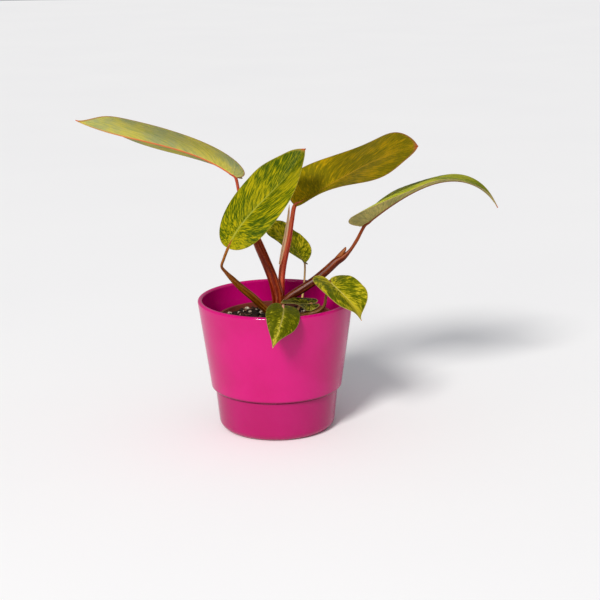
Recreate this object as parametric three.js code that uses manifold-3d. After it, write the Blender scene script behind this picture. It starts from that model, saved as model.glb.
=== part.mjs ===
// Potted painted lady philodendron: a glazed cover pot, the plastic nursery pot that stands inside it,
// potting mix, and a plant with four long leaves, four small ones and a new leaf still in its sheath.
// Millimetres, +Z up. The origin is the middle of the cover pot's underside, and the front is towards -Y.
import * as THREE from "three";
import { mergeVertices } from "three/addons/utils/BufferGeometryUtils.js";
import Module from "manifold-3d";

const wasm = await Module();
wasm.setup();

// What lies between two pieces that touch.
const gap = 0.3;

// Cover pot: a tapered body whose rounded lower edge overhangs an inset foot band.
const potHeight = 117;
const rimRadius = 68.5;
const rimRounding = 2.1;
const potWall = 4.3;
const bodyFootRadius = 58.2;
const bodyFootHeight = 39.5;
const bandTopRadius = 54.6;
const bandTopHeight = 36.5;
const footRadius = 51.8;
const footFillet = 8;
const potFloor = 6;
const potSegments = 64;

// Nursery pot: thin plastic with a collar round its rim and holes in its floor.
const nurseryHeight = 94;
const nurseryRimRadius = 52;
const nurseryTopRadius = 50.6;
const nurseryFootRadius = 39;
const nurseryCollar = 9;
const nurseryWall = 1.2;
const nurserySegments = 48;
const drainHoles = 6;
const drainHoleRadius = 4;
const drainHoleCircle = 25;

// Potting mix: its top lies below the nursery pot's rim and rises a little to the stem.
const mixEdgeHeight = 95.6;
const mixRise = 3.2;
const mixClods = 90;
const mixRings = 12;
const mixSegments = 40;

// Crown: the short stem that every petiole leaves from, and the roots below it.
const crown = { x: 5, y: -13, top: 107, bottom: 62, radius: 8 };
const rootCount = 7;
const rootRadius = 1.7;
const rootReach = 30;
const rootDepth = 22;

// Leaf blades.
const bladeThickness = 0.8;
const keelHeight = 0.9;
const midribSteps = 80;
const bladeStart = 0.03;
const bladeEnd = 0.985;
const lobeShare = 0.4;
const veinSweep = 1.3;
const columnsLong = [0, 0.05, 0.3, 0.58, 0.82, 1];
const columnsSmall = [0, 0.08, 0.4, 0.72, 1];

// Each leaf: where its petiole meets it, its length and greatest width, and the rise, heading and roll of
// its midrib in degrees at the base, the middle and the tip. folds lifts its left and right halves at those
// three places, and curl turns their edges back down. lobe, widest, blunt and taper shape the outline as
// shares of the length. wave is the height, count and phase of the waves along its edge. Each row of its
// petiole is a point of the centre line and the radius there, from the crown up.
const leaves = [
  {
    name: "left_leaf",
    base: [-33.5, 10, 223.4],
    length: 152,
    width: 58,
    rise: [37, 13, 21],
    heading: [172, 173, 153],
    roll: [27, 32, 44],
    folds: [[43, 41, 51], [41, 42, 52]],
    curl: [31, 31],
    lobe: 0.06,
    widest: 0.45,
    blunt: 0.3,
    taper: 0.09,
    wave: [0.45, 2.66, 0.34],
    rows: 22,
    columns: columnsLong,
    blade: 0x8a9440,
    petiole: 0x7a3420,
    path: [
      [5, -12, 100, 4.6],
      [2.5, -11, 113, 4.8],
      [1.8, -9.5, 121.5, 4.8],
      [-2, -7, 136, 4.4],
      [-7.5, -4, 150, 4.2],
      [-13.6, -1.5, 164.5, 4.1],
      [-19.5, 1.5, 179, 3.3],
      [-25.5, 5, 196, 2],
      [-30, 7.5, 209, 1.4],
      [-33.5, 10, 223.4, 1.3],
    ],
  },
  {
    name: "upper_leaf",
    base: [18.5, 7, 198],
    length: 126,
    width: 62,
    rise: [27, 29.5, 13.5],
    heading: [17, -22.5, -27],
    roll: [26, 30, 57],
    folds: [[49, 6, 1.5], [38, 10, 1]],
    curl: [-2.5, -3],
    lobe: 0.02,
    widest: 0.43,
    blunt: 0.47,
    taper: 0.02,
    wave: [-1.7, 2.54, -0.9],
    rows: 22,
    columns: columnsLong,
    blade: 0x8d8a2c,
    petiole: 0xc24a44,
    path: [
      [6, -9, 100, 2.8],
      [5.8, -3, 112, 2.7],
      [5.6, -1, 123.5, 2.8],
      [5.8, 0, 133.5, 2.9],
      [7.2, 1.5, 145, 3],
      [10.1, 2.5, 158, 2.7],
      [13.2, 4, 170.5, 2.2],
      [15.5, 5.5, 185, 2],
      [18.5, 7, 198, 1.8],
    ],
  },
  {
    name: "right_leaf",
    base: [79, -4.4, 182],
    length: 147.5,
    width: 62.5,
    rise: [41, 8.1, -61.5],
    heading: [-15.6, 25.6, 9.3],
    roll: [-11.8, -5.3, 29.8],
    folds: [[54.6, 31.7, 21.4], [56.5, 40.7, 18.1]],
    curl: [35.7, 38.4],
    lobe: 0.07,
    widest: 0.28,
    blunt: 0.23,
    taper: 0.14,
    wave: [-2.6, 2.24, -2.24],
    rows: 22,
    columns: columnsLong,
    blade: 0x8a9450,
    petiole: 0x7a3420,
    path: [
      [5, -13, 102, 3],
      [7, -12.5, 115, 3.1],
      [12, -12, 120, 3.5],
      [22.5, -11, 126.5, 3.8],
      [35, -9.5, 134.5, 3.8],
      [46, -8.5, 143.5, 3.7],
      [54, -7.5, 150.6, 3.5],
      [59.8, -7, 154.2, 2.8],
      [65.3, -6.5, 159.4, 1.6],
      [71.5, -5.5, 168.5, 1.5],
      [76, -4.7, 177, 1.4],
      [79, -4.4, 182, 1.4],
    ],
    ear: [
      [54, -6.5, 151.6, 2.6],
      [57.8, -6.5, 156.3, 2.3],
      [60.2, -6.5, 159.6, 1.7],
      [61.5, -6.5, 161.6, 1.2],
      [62, -6.5, 163, 0.5],
    ],
  },
  {
    name: "front_leaf",
    base: [-38.4, -46, 172.6],
    length: 108,
    width: 53.5,
    rise: [66, 40, 60],
    heading: [18, 23, 29],
    roll: [38, 23, 8],
    folds: [[0, 17, 36], [-2, 16, 39]],
    curl: [9.5, 10.5],
    lobe: 0,
    widest: 0.58,
    blunt: 0.32,
    taper: 0.01,
    wave: [1.3, 2.15, 0.7],
    rows: 22,
    columns: columnsLong,
    blade: 0x7f9422,
    petiole: 0x8c6428,
    path: [
      [3, -15, 102, 3.2],
      [-9, -20, 112.5, 3.3],
      [-18.5, -25, 123.5, 3.3],
      [-29, -30.5, 134.5, 3],
      [-36, -34.5, 143, 2.4],
      [-41.5, -37.5, 150, 1.5],
      [-44.5, -39.5, 155, 1.2],
      [-42.5, -42, 162, 1.2],
      [-38.4, -46, 172.6, 1.2],
    ],
  },
  {
    name: "back_small_leaf",
    base: [26, 27, 142],
    length: 53.5,
    width: 35,
    rise: [56, 47, 42],
    heading: [186, 180, 164],
    roll: [-17, -31, -61],
    folds: [[20, 10, -5], [21.5, 8, -2]],
    curl: [-9.5, -9],
    lobe: 0.05,
    widest: 0.37,
    blunt: 0.3,
    taper: 0.09,
    wave: [3, 2.24, -2.3],
    rows: 14,
    columns: columnsSmall,
    blade: 0x5f7d24,
    petiole: 0xc8ae78,
    path: [
      [13, -7, 98, 1.3],
      [19, 0, 104, 1.2],
      [23, 8, 111, 1.1],
      [24.5, 14, 117, 1],
      [26, 20.5, 129, 0.9],
      [26, 27, 142, 0.8],
    ],
  },
  {
    name: "inner_small_leaf",
    base: [31.6, -27, 118],
    length: 30.7,
    width: 28,
    rise: [-1, 12, 7],
    heading: [186, 211, 212],
    roll: [-4, -6, -4],
    folds: [[8, 12, 12], [7, 12, 12.5]],
    curl: [10, 9],
    lobe: 0.24,
    widest: 0.3,
    blunt: 0.28,
    taper: 0.12,
    wave: [1.5, 1.63, -1.3],
    rows: 14,
    columns: columnsSmall,
    blade: 0x4f6e24,
    petiole: 0x9a5a3a,
    path: [
      [11, -15, 100, 1.5],
      [18, -19, 105, 1.4],
      [27, -24, 110, 1.3],
      [33, -27, 114, 1.2],
      [31.6, -27, 118, 1.2],
    ],
  },
  {
    name: "rim_small_leaf",
    base: [7.3, -55, 123.4],
    length: 50.7,
    width: 29.5,
    rise: [-3, -30, -57],
    heading: [-83, -104, -125],
    roll: [-13, -12, -7],
    folds: [[8, -0.5, 3], [10, 4, 3.5]],
    curl: [14, 16],
    lobe: 0.15,
    widest: 0.32,
    blunt: 0.26,
    taper: 0.12,
    wave: [1.8, 2.05, 1.3],
    rows: 14,
    columns: columnsSmall,
    blade: 0x3f6024,
    petiole: 0xc07a72,
    path: [
      [5, -19, 100, 1.5],
      [6, -27, 108, 1.4],
      [7, -37, 116, 1.3],
      [7.5, -46, 121.5, 1.3],
      [7.3, -55, 123.4, 1.2],
    ],
  },
  {
    name: "right_small_leaf",
    base: [47, -42, 142],
    length: 51.5,
    width: 39,
    rise: [-7, -32, -66],
    heading: [-78, -43, -29],
    roll: [0, 1, 0],
    folds: [[17, 15, 4], [17, 16, 5]],
    curl: [-4, 0],
    lobe: 0.19,
    widest: 0.51,
    blunt: 0.31,
    taper: 0.12,
    wave: [2.8, 1.3, 1.56],
    rows: 14,
    columns: columnsSmall,
    blade: 0x6f8c22,
    petiole: 0x7c7830,
    path: [
      [10, -19, 98, 2.2],
      [16, -28, 104, 2.2],
      [22, -36, 109, 2.2],
      [29.5, -41, 112.5, 2.1],
      [38, -41.5, 115.5, 1.9],
      [42.5, -41.5, 120.5, 1.4],
      [44, -41.5, 128.5, 1.1],
      [47, -42, 142, 1.1],
    ],
  },
];

// The new leaf, still rolled up in its sheath, stands against the petiole of the upper leaf.
const newLeafPath = [
  [4.6, -0.5, 147, 1.2],
  [7.2, 0.8, 159, 1.7],
  [9.8, 1.8, 171, 1.6],
  [11.6, 2.6, 182, 1.3],
  [12.6, 3.4, 190, 1],
  [13.4, 4.2, 199, 0.5],
];

const degrees = Math.PI / 180;

// The value at s of the curve that passes through its values at 0, a half and 1.
const through = ([first, middle, last], s) =>
  first * (1 - s) * (1 - 2 * s) + middle * 4 * s * (1 - s) + last * s * (2 * s - 1);

// Random numbers that are the same on every run.
function dice(seed) {
  let state = seed;
  return () => {
    state = (state * 48271) % 2147483647;
    return state / 2147483647;
  };
}

function geometryOf(points, triangles) {
  const geometry = new THREE.BufferGeometry();
  const flat = points.flatMap((p) => [p.x, p.y, p.z]);
  geometry.setAttribute("position", new THREE.Float32BufferAttribute(flat, 3));
  geometry.setIndex(triangles.flat());
  return geometry;
}

// A closed mesh as a solid for cutting, with its shared corners joined and its flat triangles left out.
function solidOf(geometry) {
  const bare = geometry.clone();
  bare.deleteAttribute("normal");
  bare.deleteAttribute("uv");
  const merged = mergeVertices(bare, 1e-4);
  const index = merged.index.array;
  const kept = [];
  for (let i = 0; i < index.length; i += 3) {
    const [a, b, c] = index.slice(i, i + 3);
    if (a !== b && b !== c && c !== a) kept.push(a, b, c);
  }
  return new wasm.Manifold(
    new wasm.Mesh({
      numProp: 3,
      vertProperties: new Float32Array(merged.attributes.position.array),
      triVerts: new Uint32Array(kept),
    }),
  );
}

function geometryOfSolid(solid) {
  const mesh = solid.getMesh();
  const geometry = new THREE.BufferGeometry();
  geometry.setAttribute("position", new THREE.BufferAttribute(mesh.vertProperties, 3));
  geometry.setIndex(new THREE.BufferAttribute(mesh.triVerts, 1));
  return geometry;
}

// A cut can leave crumbs beside the piece, so only its largest body is kept.
function largestBody(solid) {
  const bodies = solid.decompose();
  return bodies.reduce((best, body) => (body.volume() > best.volume() ? body : best));
}

// Turns a profile of [radius, height] round the Z axis.
function turned(profile, segments) {
  const points = profile.map(([radius, height]) => new THREE.Vector2(radius, height));
  return new THREE.LatheGeometry(points, segments).rotateX(Math.PI / 2);
}

// The points of an arc round [x, y] from one angle to another, in degrees.
function arc(x, y, radius, from, to, steps) {
  const points = [];
  for (let i = 0; i <= steps; i++) {
    const angle = (from + ((to - from) * i) / steps) * degrees;
    points.push([x + radius * Math.cos(angle), y + radius * Math.sin(angle)]);
  }
  return points;
}

function coverPot() {
  const lip = potHeight - rimRounding;
  const lipWidth = potWall - rimRounding;
  const profile = [
    [0, 0],
    ...arc(footRadius - footFillet, footFillet, footFillet, -90, -5, 6),
    [bandTopRadius, bandTopHeight],
    [bandTopRadius - 0.6, bandTopHeight + 0.5],
    ...arc(bodyFootRadius - 2.4, bodyFootHeight, 2.4, -90, 0, 3),
    ...arc(rimRadius - rimRounding, lip, rimRounding, 0, 90, 3),
    ...arc(rimRadius - lipWidth, lip, rimRounding, 90, 180, 3),
    [bodyFootRadius - potWall + 0.9, bodyFootHeight + 7],
    [bandTopRadius - potWall, bandTopHeight - 3],
    [footRadius - potWall - 0.5, potFloor + 6],
    [footRadius - potWall - 6, potFloor],
    [0, potFloor],
  ];
  return turned(profile, potSegments);
}

function nurseryPot() {
  const foot = potFloor + gap;
  const top = foot + nurseryHeight;
  const inside = nurseryTopRadius - nurseryWall;
  const profile = [
    [0, foot],
    [nurseryFootRadius - 2, foot],
    [nurseryFootRadius, foot + 2],
    [nurseryTopRadius - 1, top - nurseryCollar - 1],
    [nurseryRimRadius - 0.4, top - nurseryCollar],
    [nurseryRimRadius, top - 0.6],
    [nurseryRimRadius - 0.6, top],
    [inside, top],
    [inside - 0.8, top - nurseryCollar],
    [nurseryFootRadius - nurseryWall, foot + nurseryWall + 1],
    [nurseryFootRadius - nurseryWall - 1.5, foot + nurseryWall],
    [0, foot + nurseryWall],
  ];
  let pot = solidOf(turned(profile, nurserySegments));
  for (let i = 0; i < drainHoles; i++) {
    const angle = (i / drainHoles) * 2 * Math.PI;
    const hole = new THREE.CylinderGeometry(drainHoleRadius, drainHoleRadius, 6, 16)
      .rotateX(Math.PI / 2)
      .translate(drainHoleCircle * Math.cos(angle), drainHoleCircle * Math.sin(angle), foot);
    pot = pot.subtract(solidOf(hole));
  }
  return geometryOfSolid(pot);
}

// The mix fills the nursery pot. Its clods are bumps of seeded size and place that fade out at the edge.
function pottingMix() {
  const foot = potFloor + gap + nurseryWall + gap;
  const edge = nurseryTopRadius - nurseryWall - gap - 0.8;
  const profile = [
    [0, foot],
    [nurseryFootRadius - nurseryWall - gap - 2, foot],
    [nurseryFootRadius - nurseryWall - gap - 0.4, foot + 1.5],
    [edge - 0.4, mixEdgeHeight - 4],
    [edge, mixEdgeHeight],
  ];
  for (let ring = 1; ring <= mixRings; ring++) {
    profile.push([edge * (1 - ring / mixRings), mixEdgeHeight]);
  }
  const mix = turned(profile, mixSegments);
  const roll = dice(41);
  const clods = Array.from({ length: mixClods }, () => {
    const radius = edge * Math.sqrt(roll());
    const angle = 2 * Math.PI * roll();
    return {
      x: radius * Math.cos(angle),
      y: radius * Math.sin(angle),
      size: 2.4 + 3 * roll(),
      height: 2.6 * roll() - 0.7,
    };
  });
  const position = mix.attributes.position;
  for (let i = 0; i < position.count; i++) {
    const x = position.getX(i);
    const y = position.getY(i);
    const inward = 1 - Math.hypot(x, y) / edge;
    if (position.getZ(i) < mixEdgeHeight - 0.01 || inward < 0.01) continue;
    let height = mixRise * Math.exp(-((x - crown.x) ** 2 + (y - crown.y) ** 2) / 700);
    for (const clod of clods) {
      height += clod.height * Math.exp(-((x - clod.x) ** 2 + (y - clod.y) ** 2) / clod.size ** 2);
    }
    position.setZ(i, mixEdgeHeight + height * Math.min(1, inward * 8));
  }
  return mix;
}

// A tube along rows of [x, y, z, radius], with flat ends.
function tube(rows, sides, steps, grow = 0) {
  const curve = new THREE.CatmullRomCurve3(rows.map(([x, y, z]) => new THREE.Vector3(x, y, z)));
  const { normals, binormals } = curve.computeFrenetFrames(steps, false);
  const points = [];
  const triangles = [];
  for (let i = 0; i <= steps; i++) {
    const centre = curve.getPointAt(i / steps);
    if (i === 0) centre.addScaledVector(curve.getTangentAt(0), -grow);
    if (i === steps) centre.addScaledVector(curve.getTangentAt(1), grow);
    const place = curve.getUtoTmapping(i / steps) * (rows.length - 1);
    const row = Math.min(Math.floor(place), rows.length - 2);
    const radius = THREE.MathUtils.lerp(rows[row][3], rows[row + 1][3], place - row) + grow;
    for (let k = 0; k < sides; k++) {
      const angle = (k / sides) * 2 * Math.PI;
      const side = normals[i].clone().multiplyScalar(radius * Math.cos(angle));
      side.addScaledVector(binormals[i], radius * Math.sin(angle));
      points.push(side.add(centre));
    }
  }
  for (let i = 0; i < steps; i++) {
    for (let k = 0; k < sides; k++) {
      const next = (k + 1) % sides;
      const [a, b] = [i * sides + k, i * sides + next];
      triangles.push([a, b, b + sides], [a, b + sides, a + sides]);
    }
  }
  for (let k = 1; k < sides - 1; k++) {
    const last = steps * sides;
    triangles.push([0, k + 1, k], [last, last + k, last + k + 1]);
  }
  return solidOf(geometryOf(points, triangles));
}

// The crown is a rounded stem, and its roots leave it all round and spread down into the mix.
function crownAndRoots(grow = 0) {
  const { x, y, top, bottom, radius } = crown;
  const stem = turned(
    [
      [0, bottom - grow],
      [radius * 0.5 + grow, bottom + 2 - grow],
      [radius * 0.8 + grow, bottom + 14],
      [radius + grow, top - 12],
      [radius * 0.85 + grow, top - 4],
      [radius * 0.5 + grow, top - 1 + grow],
      [0, top + grow],
    ],
    14,
  ).translate(x, y, 0);
  let plant = solidOf(stem);
  const roll = dice(7);
  for (let i = 0; i < rootCount; i++) {
    const angle = ((i + 0.6 * roll()) / rootCount) * 2 * Math.PI;
    const reach = rootReach * (0.6 + 0.3 * roll());
    const start = bottom + 6 + 16 * roll();
    const rows = [0, 0.35, 0.7, 1].map((s) => [
      x * (1 - s) + reach * s * Math.cos(angle + 0.5 * s),
      y * (1 - s) + reach * s * Math.sin(angle + 0.5 * s),
      start - rootDepth * s * s - 4 * s,
      rootRadius * (1 - 0.6 * s),
    ]);
    plant = plant.add(tube(rows, 7, 7, grow));
  }
  return plant;
}

// The midrib as a list of frames: a point, and the directions along it, to its left and out of its face.
function midribOf(leaf) {
  const frames = [];
  const point = new THREE.Vector3(...leaf.base);
  for (let i = 0; i <= midribSteps; i++) {
    const s = i / midribSteps;
    const [rise, heading, roll] = [leaf.rise, leaf.heading, leaf.roll].map(
      (angles) => through(angles, s) * degrees,
    );
    const along = new THREE.Vector3(
      Math.cos(rise) * Math.cos(heading),
      Math.cos(rise) * Math.sin(heading),
      Math.sin(rise),
    );
    const left = new THREE.Vector3(-Math.sin(heading), Math.cos(heading), 0).applyAxisAngle(along, roll);
    const out = new THREE.Vector3().crossVectors(along, left);
    if (i > 0) {
      const both = along.clone().add(frames[i - 1].along);
      point.addScaledVector(both, leaf.length / midribSteps / 2);
    }
    frames.push({ point: point.clone(), along, left, out });
  }
  return frames;
}

function frameAt(frames, s) {
  const place = THREE.MathUtils.clamp(s, 0, 1) * midribSteps;
  const i = Math.min(Math.floor(place), midribSteps - 1);
  const blend = (key) => frames[i][key].clone().lerp(frames[i + 1][key], place - i);
  return { point: blend("point"), left: blend("left"), out: blend("out") };
}

// The edge of the flat blade at u, from 0 at the petiole round the lobe to 1 at the tip.
function edgeOf(leaf, u) {
  const at = (x, y) => new THREE.Vector2(x * leaf.length, (y * leaf.width) / 2);
  const { lobe, widest, blunt, taper } = leaf;
  if (u <= lobeShare) {
    const curve = [at(0, 0), at(-1.35 * lobe, 0.18), at(-1.1 * lobe - 0.02, 1), at(widest, 1)];
    return new THREE.CubicBezierCurve(...curve).getPoint(u / lobeShare);
  }
  const curve = [at(widest, 1), at(widest + blunt, 1), at(1 - taper, 0.75 * taper + 0.05), at(1, 0)];
  return new THREE.CubicBezierCurve(...curve).getPoint((u - lobeShare) / (1 - lobeShare));
}

// A point of the blade's middle surface. u is the lateral vein, from the petiole to the tip, and v is the
// place on it, from -1 at the right edge over the midrib to 1 at the left edge.
function bladePoint(leaf, frames, u, v) {
  const side = v < 0 ? -1 : 1;
  const t = Math.abs(v);
  const edge = edgeOf(leaf, u);
  const start = leaf.length * u ** veinSweep;
  const x = start + (edge.x - start) * t ** veinSweep;
  const y = edge.y * t;
  const s = x / leaf.length;
  const { point, left, out } = frameAt(frames, s);
  if (s < 0) point.addScaledVector(frames[0].along, x);
  const inner = THREE.MathUtils.clamp(s, 0, 1);
  const half = side > 0 ? 0 : 1;
  const lift = through(leaf.folds[half], inner) - leaf.curl[half] * ((2 * y) / leaf.width);
  const [height, count, phase] = leaf.wave;
  const ripple = Math.sin(2 * Math.PI * count * u + phase + (side > 0 ? 2 : 0));
  const wave = height * ripple * t * t * Math.sin(Math.PI * u);
  point.addScaledVector(left, side * y * Math.cos(lift * degrees));
  return point.addScaledVector(out, y * Math.sin(lift * degrees) + wave);
}

// A blade has the same triangles on its two faces, and a keel under its midrib.
function blade(leaf) {
  const frames = midribOf(leaf);
  const columns = [...leaf.columns.slice(1).map((v) => -v).reverse(), ...leaf.columns];
  const upper = [];
  const lower = [];
  const nudge = 0.003;
  for (let row = 0; row < leaf.rows; row++) {
    const share = row / (leaf.rows - 1);
    const u = THREE.MathUtils.lerp(bladeStart, bladeEnd, share);
    for (const v of columns) {
      const at = (du, dv) => bladePoint(leaf, frames, u + du, v + dv);
      const along = at(nudge, 0).sub(at(-nudge, 0));
      const normal = at(0, nudge).sub(at(0, -nudge));
      normal.crossVectors(along, normal).normalize();
      const keel = v === 0 ? keelHeight * (1 - share) : 0;
      upper.push(at(0, 0).addScaledVector(normal, bladeThickness / 2));
      lower.push(at(0, 0).addScaledVector(normal, -bladeThickness / 2 - keel));
    }
  }
  const across = columns.length;
  const triangles = [];
  const under = upper.length;
  for (let row = 0; row < leaf.rows - 1; row++) {
    for (let column = 0; column < across - 1; column++) {
      const a = row * across + column;
      const [b, c, d] = [a + across, a + 1, a + across + 1];
      triangles.push([a, b, c], [b, d, c]);
      triangles.push([a + under, c + under, b + under], [b + under, c + under, d + under]);
    }
  }
  const rim = [];
  const lastRow = (leaf.rows - 1) * across;
  for (let row = 0; row < leaf.rows - 1; row++) rim.push(row * across);
  for (let column = 0; column < across - 1; column++) rim.push(lastRow + column);
  for (let row = leaf.rows - 1; row > 0; row--) rim.push(row * across + across - 1);
  for (let column = across - 1; column > 0; column--) rim.push(column);
  rim.forEach((p, i) => {
    const q = rim[(i + 1) % rim.length];
    triangles.push([p + under, q + under, q], [p + under, q, p]);
  });
  return geometryOf([...upper, ...lower], triangles);
}

const plant = new THREE.Group();

function addMesh(group, name, geometry, color, roughness) {
  const material = new THREE.MeshStandardMaterial({ color, roughness, metalness: 0 });
  const mesh = new THREE.Mesh(geometry, material);
  mesh.name = name;
  group.add(mesh);
}

function petiole(leaf, grow = 0) {
  const sides = leaf.columns === columnsLong ? 10 : 8;
  const stalk = tube(leaf.path, sides, leaf.path.length * 2, grow);
  return leaf.ear ? stalk.add(tube(leaf.ear, 7, 5, grow)) : stalk;
}

// At the crown each petiole grows out of the sheath of the one before, so each is cut back to leave a gap
// to the crown and to the petioles before it. The blades then leave the same gap to all of them.
let taken = crownAndRoots(gap);
for (const leaf of leaves) {
  const stalk = largestBody(petiole(leaf).subtract(taken));
  addMesh(plant, `${leaf.name}_petiole`, geometryOfSolid(stalk), leaf.petiole, 0.45);
  taken = taken.add(petiole(leaf, gap));
}
const newLeaf = largestBody(tube(newLeafPath, 7, 8).subtract(taken));
addMesh(plant, "new_leaf_sheath", geometryOfSolid(newLeaf), 0xd8907c, 0.45);
taken = taken.add(tube(newLeafPath, 7, 8, gap));
for (const leaf of leaves) {
  const face = largestBody(solidOf(blade(leaf)).subtract(taken));
  addMesh(plant, `${leaf.name}_blade`, geometryOfSolid(face), leaf.blade, 0.5);
}
addMesh(plant, "crown_and_roots", geometryOfSolid(crownAndRoots()), 0x6a4630, 0.8);

const object = new THREE.Group();
addMesh(object, "cover_pot", coverPot(), 0xc8207c, 0.15);
addMesh(object, "nursery_pot", nurseryPot(), 0x4a2018, 0.5);
const mix = largestBody(solidOf(pottingMix()).subtract(taken));
addMesh(object, "potting_mix", geometryOfSolid(mix), 0x2a1f18, 1);
object.add(plant);

export default object;
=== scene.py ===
import math

import bmesh
import bpy
import numpy as np
from mathutils import Matrix, Vector


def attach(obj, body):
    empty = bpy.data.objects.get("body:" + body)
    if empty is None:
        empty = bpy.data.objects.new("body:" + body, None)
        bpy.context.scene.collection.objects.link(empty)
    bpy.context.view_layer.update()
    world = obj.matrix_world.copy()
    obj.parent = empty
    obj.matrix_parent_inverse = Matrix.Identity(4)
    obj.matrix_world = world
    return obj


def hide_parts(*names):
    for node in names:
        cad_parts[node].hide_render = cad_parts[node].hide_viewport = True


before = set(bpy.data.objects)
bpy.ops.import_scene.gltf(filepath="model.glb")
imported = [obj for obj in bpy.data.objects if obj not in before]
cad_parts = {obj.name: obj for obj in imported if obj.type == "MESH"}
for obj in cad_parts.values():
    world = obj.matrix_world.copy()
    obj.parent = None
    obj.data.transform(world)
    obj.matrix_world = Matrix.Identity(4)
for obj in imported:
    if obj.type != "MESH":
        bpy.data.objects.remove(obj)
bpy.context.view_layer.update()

MM = 0.001

# Camera: the middle of its view in millimetres, its distance, its angles in degrees, its lens
# and the nearest and farthest that it sees, in metres.
AIM = (21.7, 0, 114.2)
DISTANCE = 1323
PITCH = 15.01
ROLL = -0.71
LENS = 90
SENSOR_WIDTH = 36
CLIP = (0.05, 30)

# Light, in metres: what it points at, a sun that looks SUN_ANGLE degrees wide, a softbox, and the light
# all round.
LIGHT_AIM = (0.02, 0, 0.12)
SUN_PLACE = (-0.8, -1.9, 1.7)
SUN_STRENGTH = 2.75
SUN_ANGLE = 14
SUN_TINT = (1.0, 0.975, 0.94)
SOFTBOX_PLACE = (-0.45, -1.6, 0.75)
SOFTBOX_POWER = 7
SOFTBOX_SIZE = (1.0, 1.2)
SOFTBOX_TINT = (1.0, 0.97, 0.96)
WORLD_STRENGTH = 0.42
WORLD_TINT = (0.93, 0.95, 1.0)
FLOOR_REACH = 6

# Cover pot, as in the part's source, with a bare foot ring and a raised underside.
POT_HEIGHT = 117
RIM_RADIUS = 68.5
RIM_ROUNDING = 2.1
POT_WALL = 4.3
BODY_FOOT_RADIUS = 58.2
BODY_FOOT_HEIGHT = 39.5
BAND_TOP_RADIUS = 54.6
BAND_TOP_HEIGHT = 36.5
FOOT_RADIUS = 51.8
FOOT_FILLET = 8
FOOT_RING_INNER = 39
UNDERSIDE_RISE = 1.2
POT_FLOOR = 6
POT_SEGMENTS = 224

# Nursery pot.
GAP = 0.3
NURSERY_HEIGHT = 94
NURSERY_RIM_RADIUS = 52
NURSERY_TOP_RADIUS = 50.6
NURSERY_FOOT_RADIUS = 39
NURSERY_COLLAR = 9
NURSERY_WALL = 1.2
NURSERY_SEGMENTS = 144
NURSERY_FOOT = POT_FLOOR + GAP
NURSERY_TOP = NURSERY_FOOT + NURSERY_HEIGHT
DRAIN_HOLES = 6
DRAIN_HOLE_RADIUS = 4
DRAIN_HOLE_CIRCLE = 25

# Potting mix and what lies on it.
MIX_EDGE_HEIGHT = 95.6
MIX_EDGE = NURSERY_TOP_RADIUS - NURSERY_WALL - GAP - 0.8
MIX_RISE = 3.2
MIX_SEGMENTS = 180
MIX_RINGS = 72
MIX_LUMPS = 900
CLODS = 460
PERLITE = 52
BARK = 120
FIBRES = 26

# Seeds of what is placed by chance. The roots' seed is that of the part's source.
LUMP_SEED = 41
CLOD_SEED = 11
PERLITE_SEED = 12
BARK_SEED = 13
FIBRE_SEED = 23
ROOT_SEED = 7

# The perlite grains that the photograph shows at the left and right of the plant: x, y and radius.
SEEN_PERLITE = [
    (-41.9, 23.6, 2.0),
    (-29.5, 29.8, 1.5),
    (-26.6, 39.9, 2.2),
    (-18.1, 27.5, 1.9),
    (25.2, 23.8, 2.2),
    (23.4, 18.9, 1.7),
    (-12.8, 34.1, 1.5),
]

# Crown and roots. Its foot and top are shares of the radius with heights above the bottom or below the top.
CROWN = {"x": 5, "y": -13, "top": 107, "bottom": 62, "radius": 8}
CROWN_FOOT = [(0, 0), (0.5, 2), (0.72, 8), (0.8, 14), (0.9, 24)]
CROWN_TOP = [(1, 12), (0.96, 9), (1, 8.4), (0.93, 6), (0.85, 4), (0.7, 2), (0.5, 1), (0.2, 0.3), (0, 0)]
ROOT_COUNT = 7
ROOT_RADIUS = 1.7
ROOT_REACH = 30
ROOT_DEPTH = 22

# Blades. The last columns lie close together at the rounded margin.
LONG_LEAF = 100
BLADE_THICKNESS = 0.5
MARGIN_THICKNESS = 0.18
MARGIN_COLUMNS = [0.975, 0.988, 0.996, 1.0]
MIDRIB_STEPS = 240
LOBE_SHARE = 0.4
VEIN_SWEEP = 1.3
VEIN_LEAN = 0.09
VEIN_SPACING = 5.6
FIRST_VEIN = 0.003
LAST_VEIN = 0.997

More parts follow.
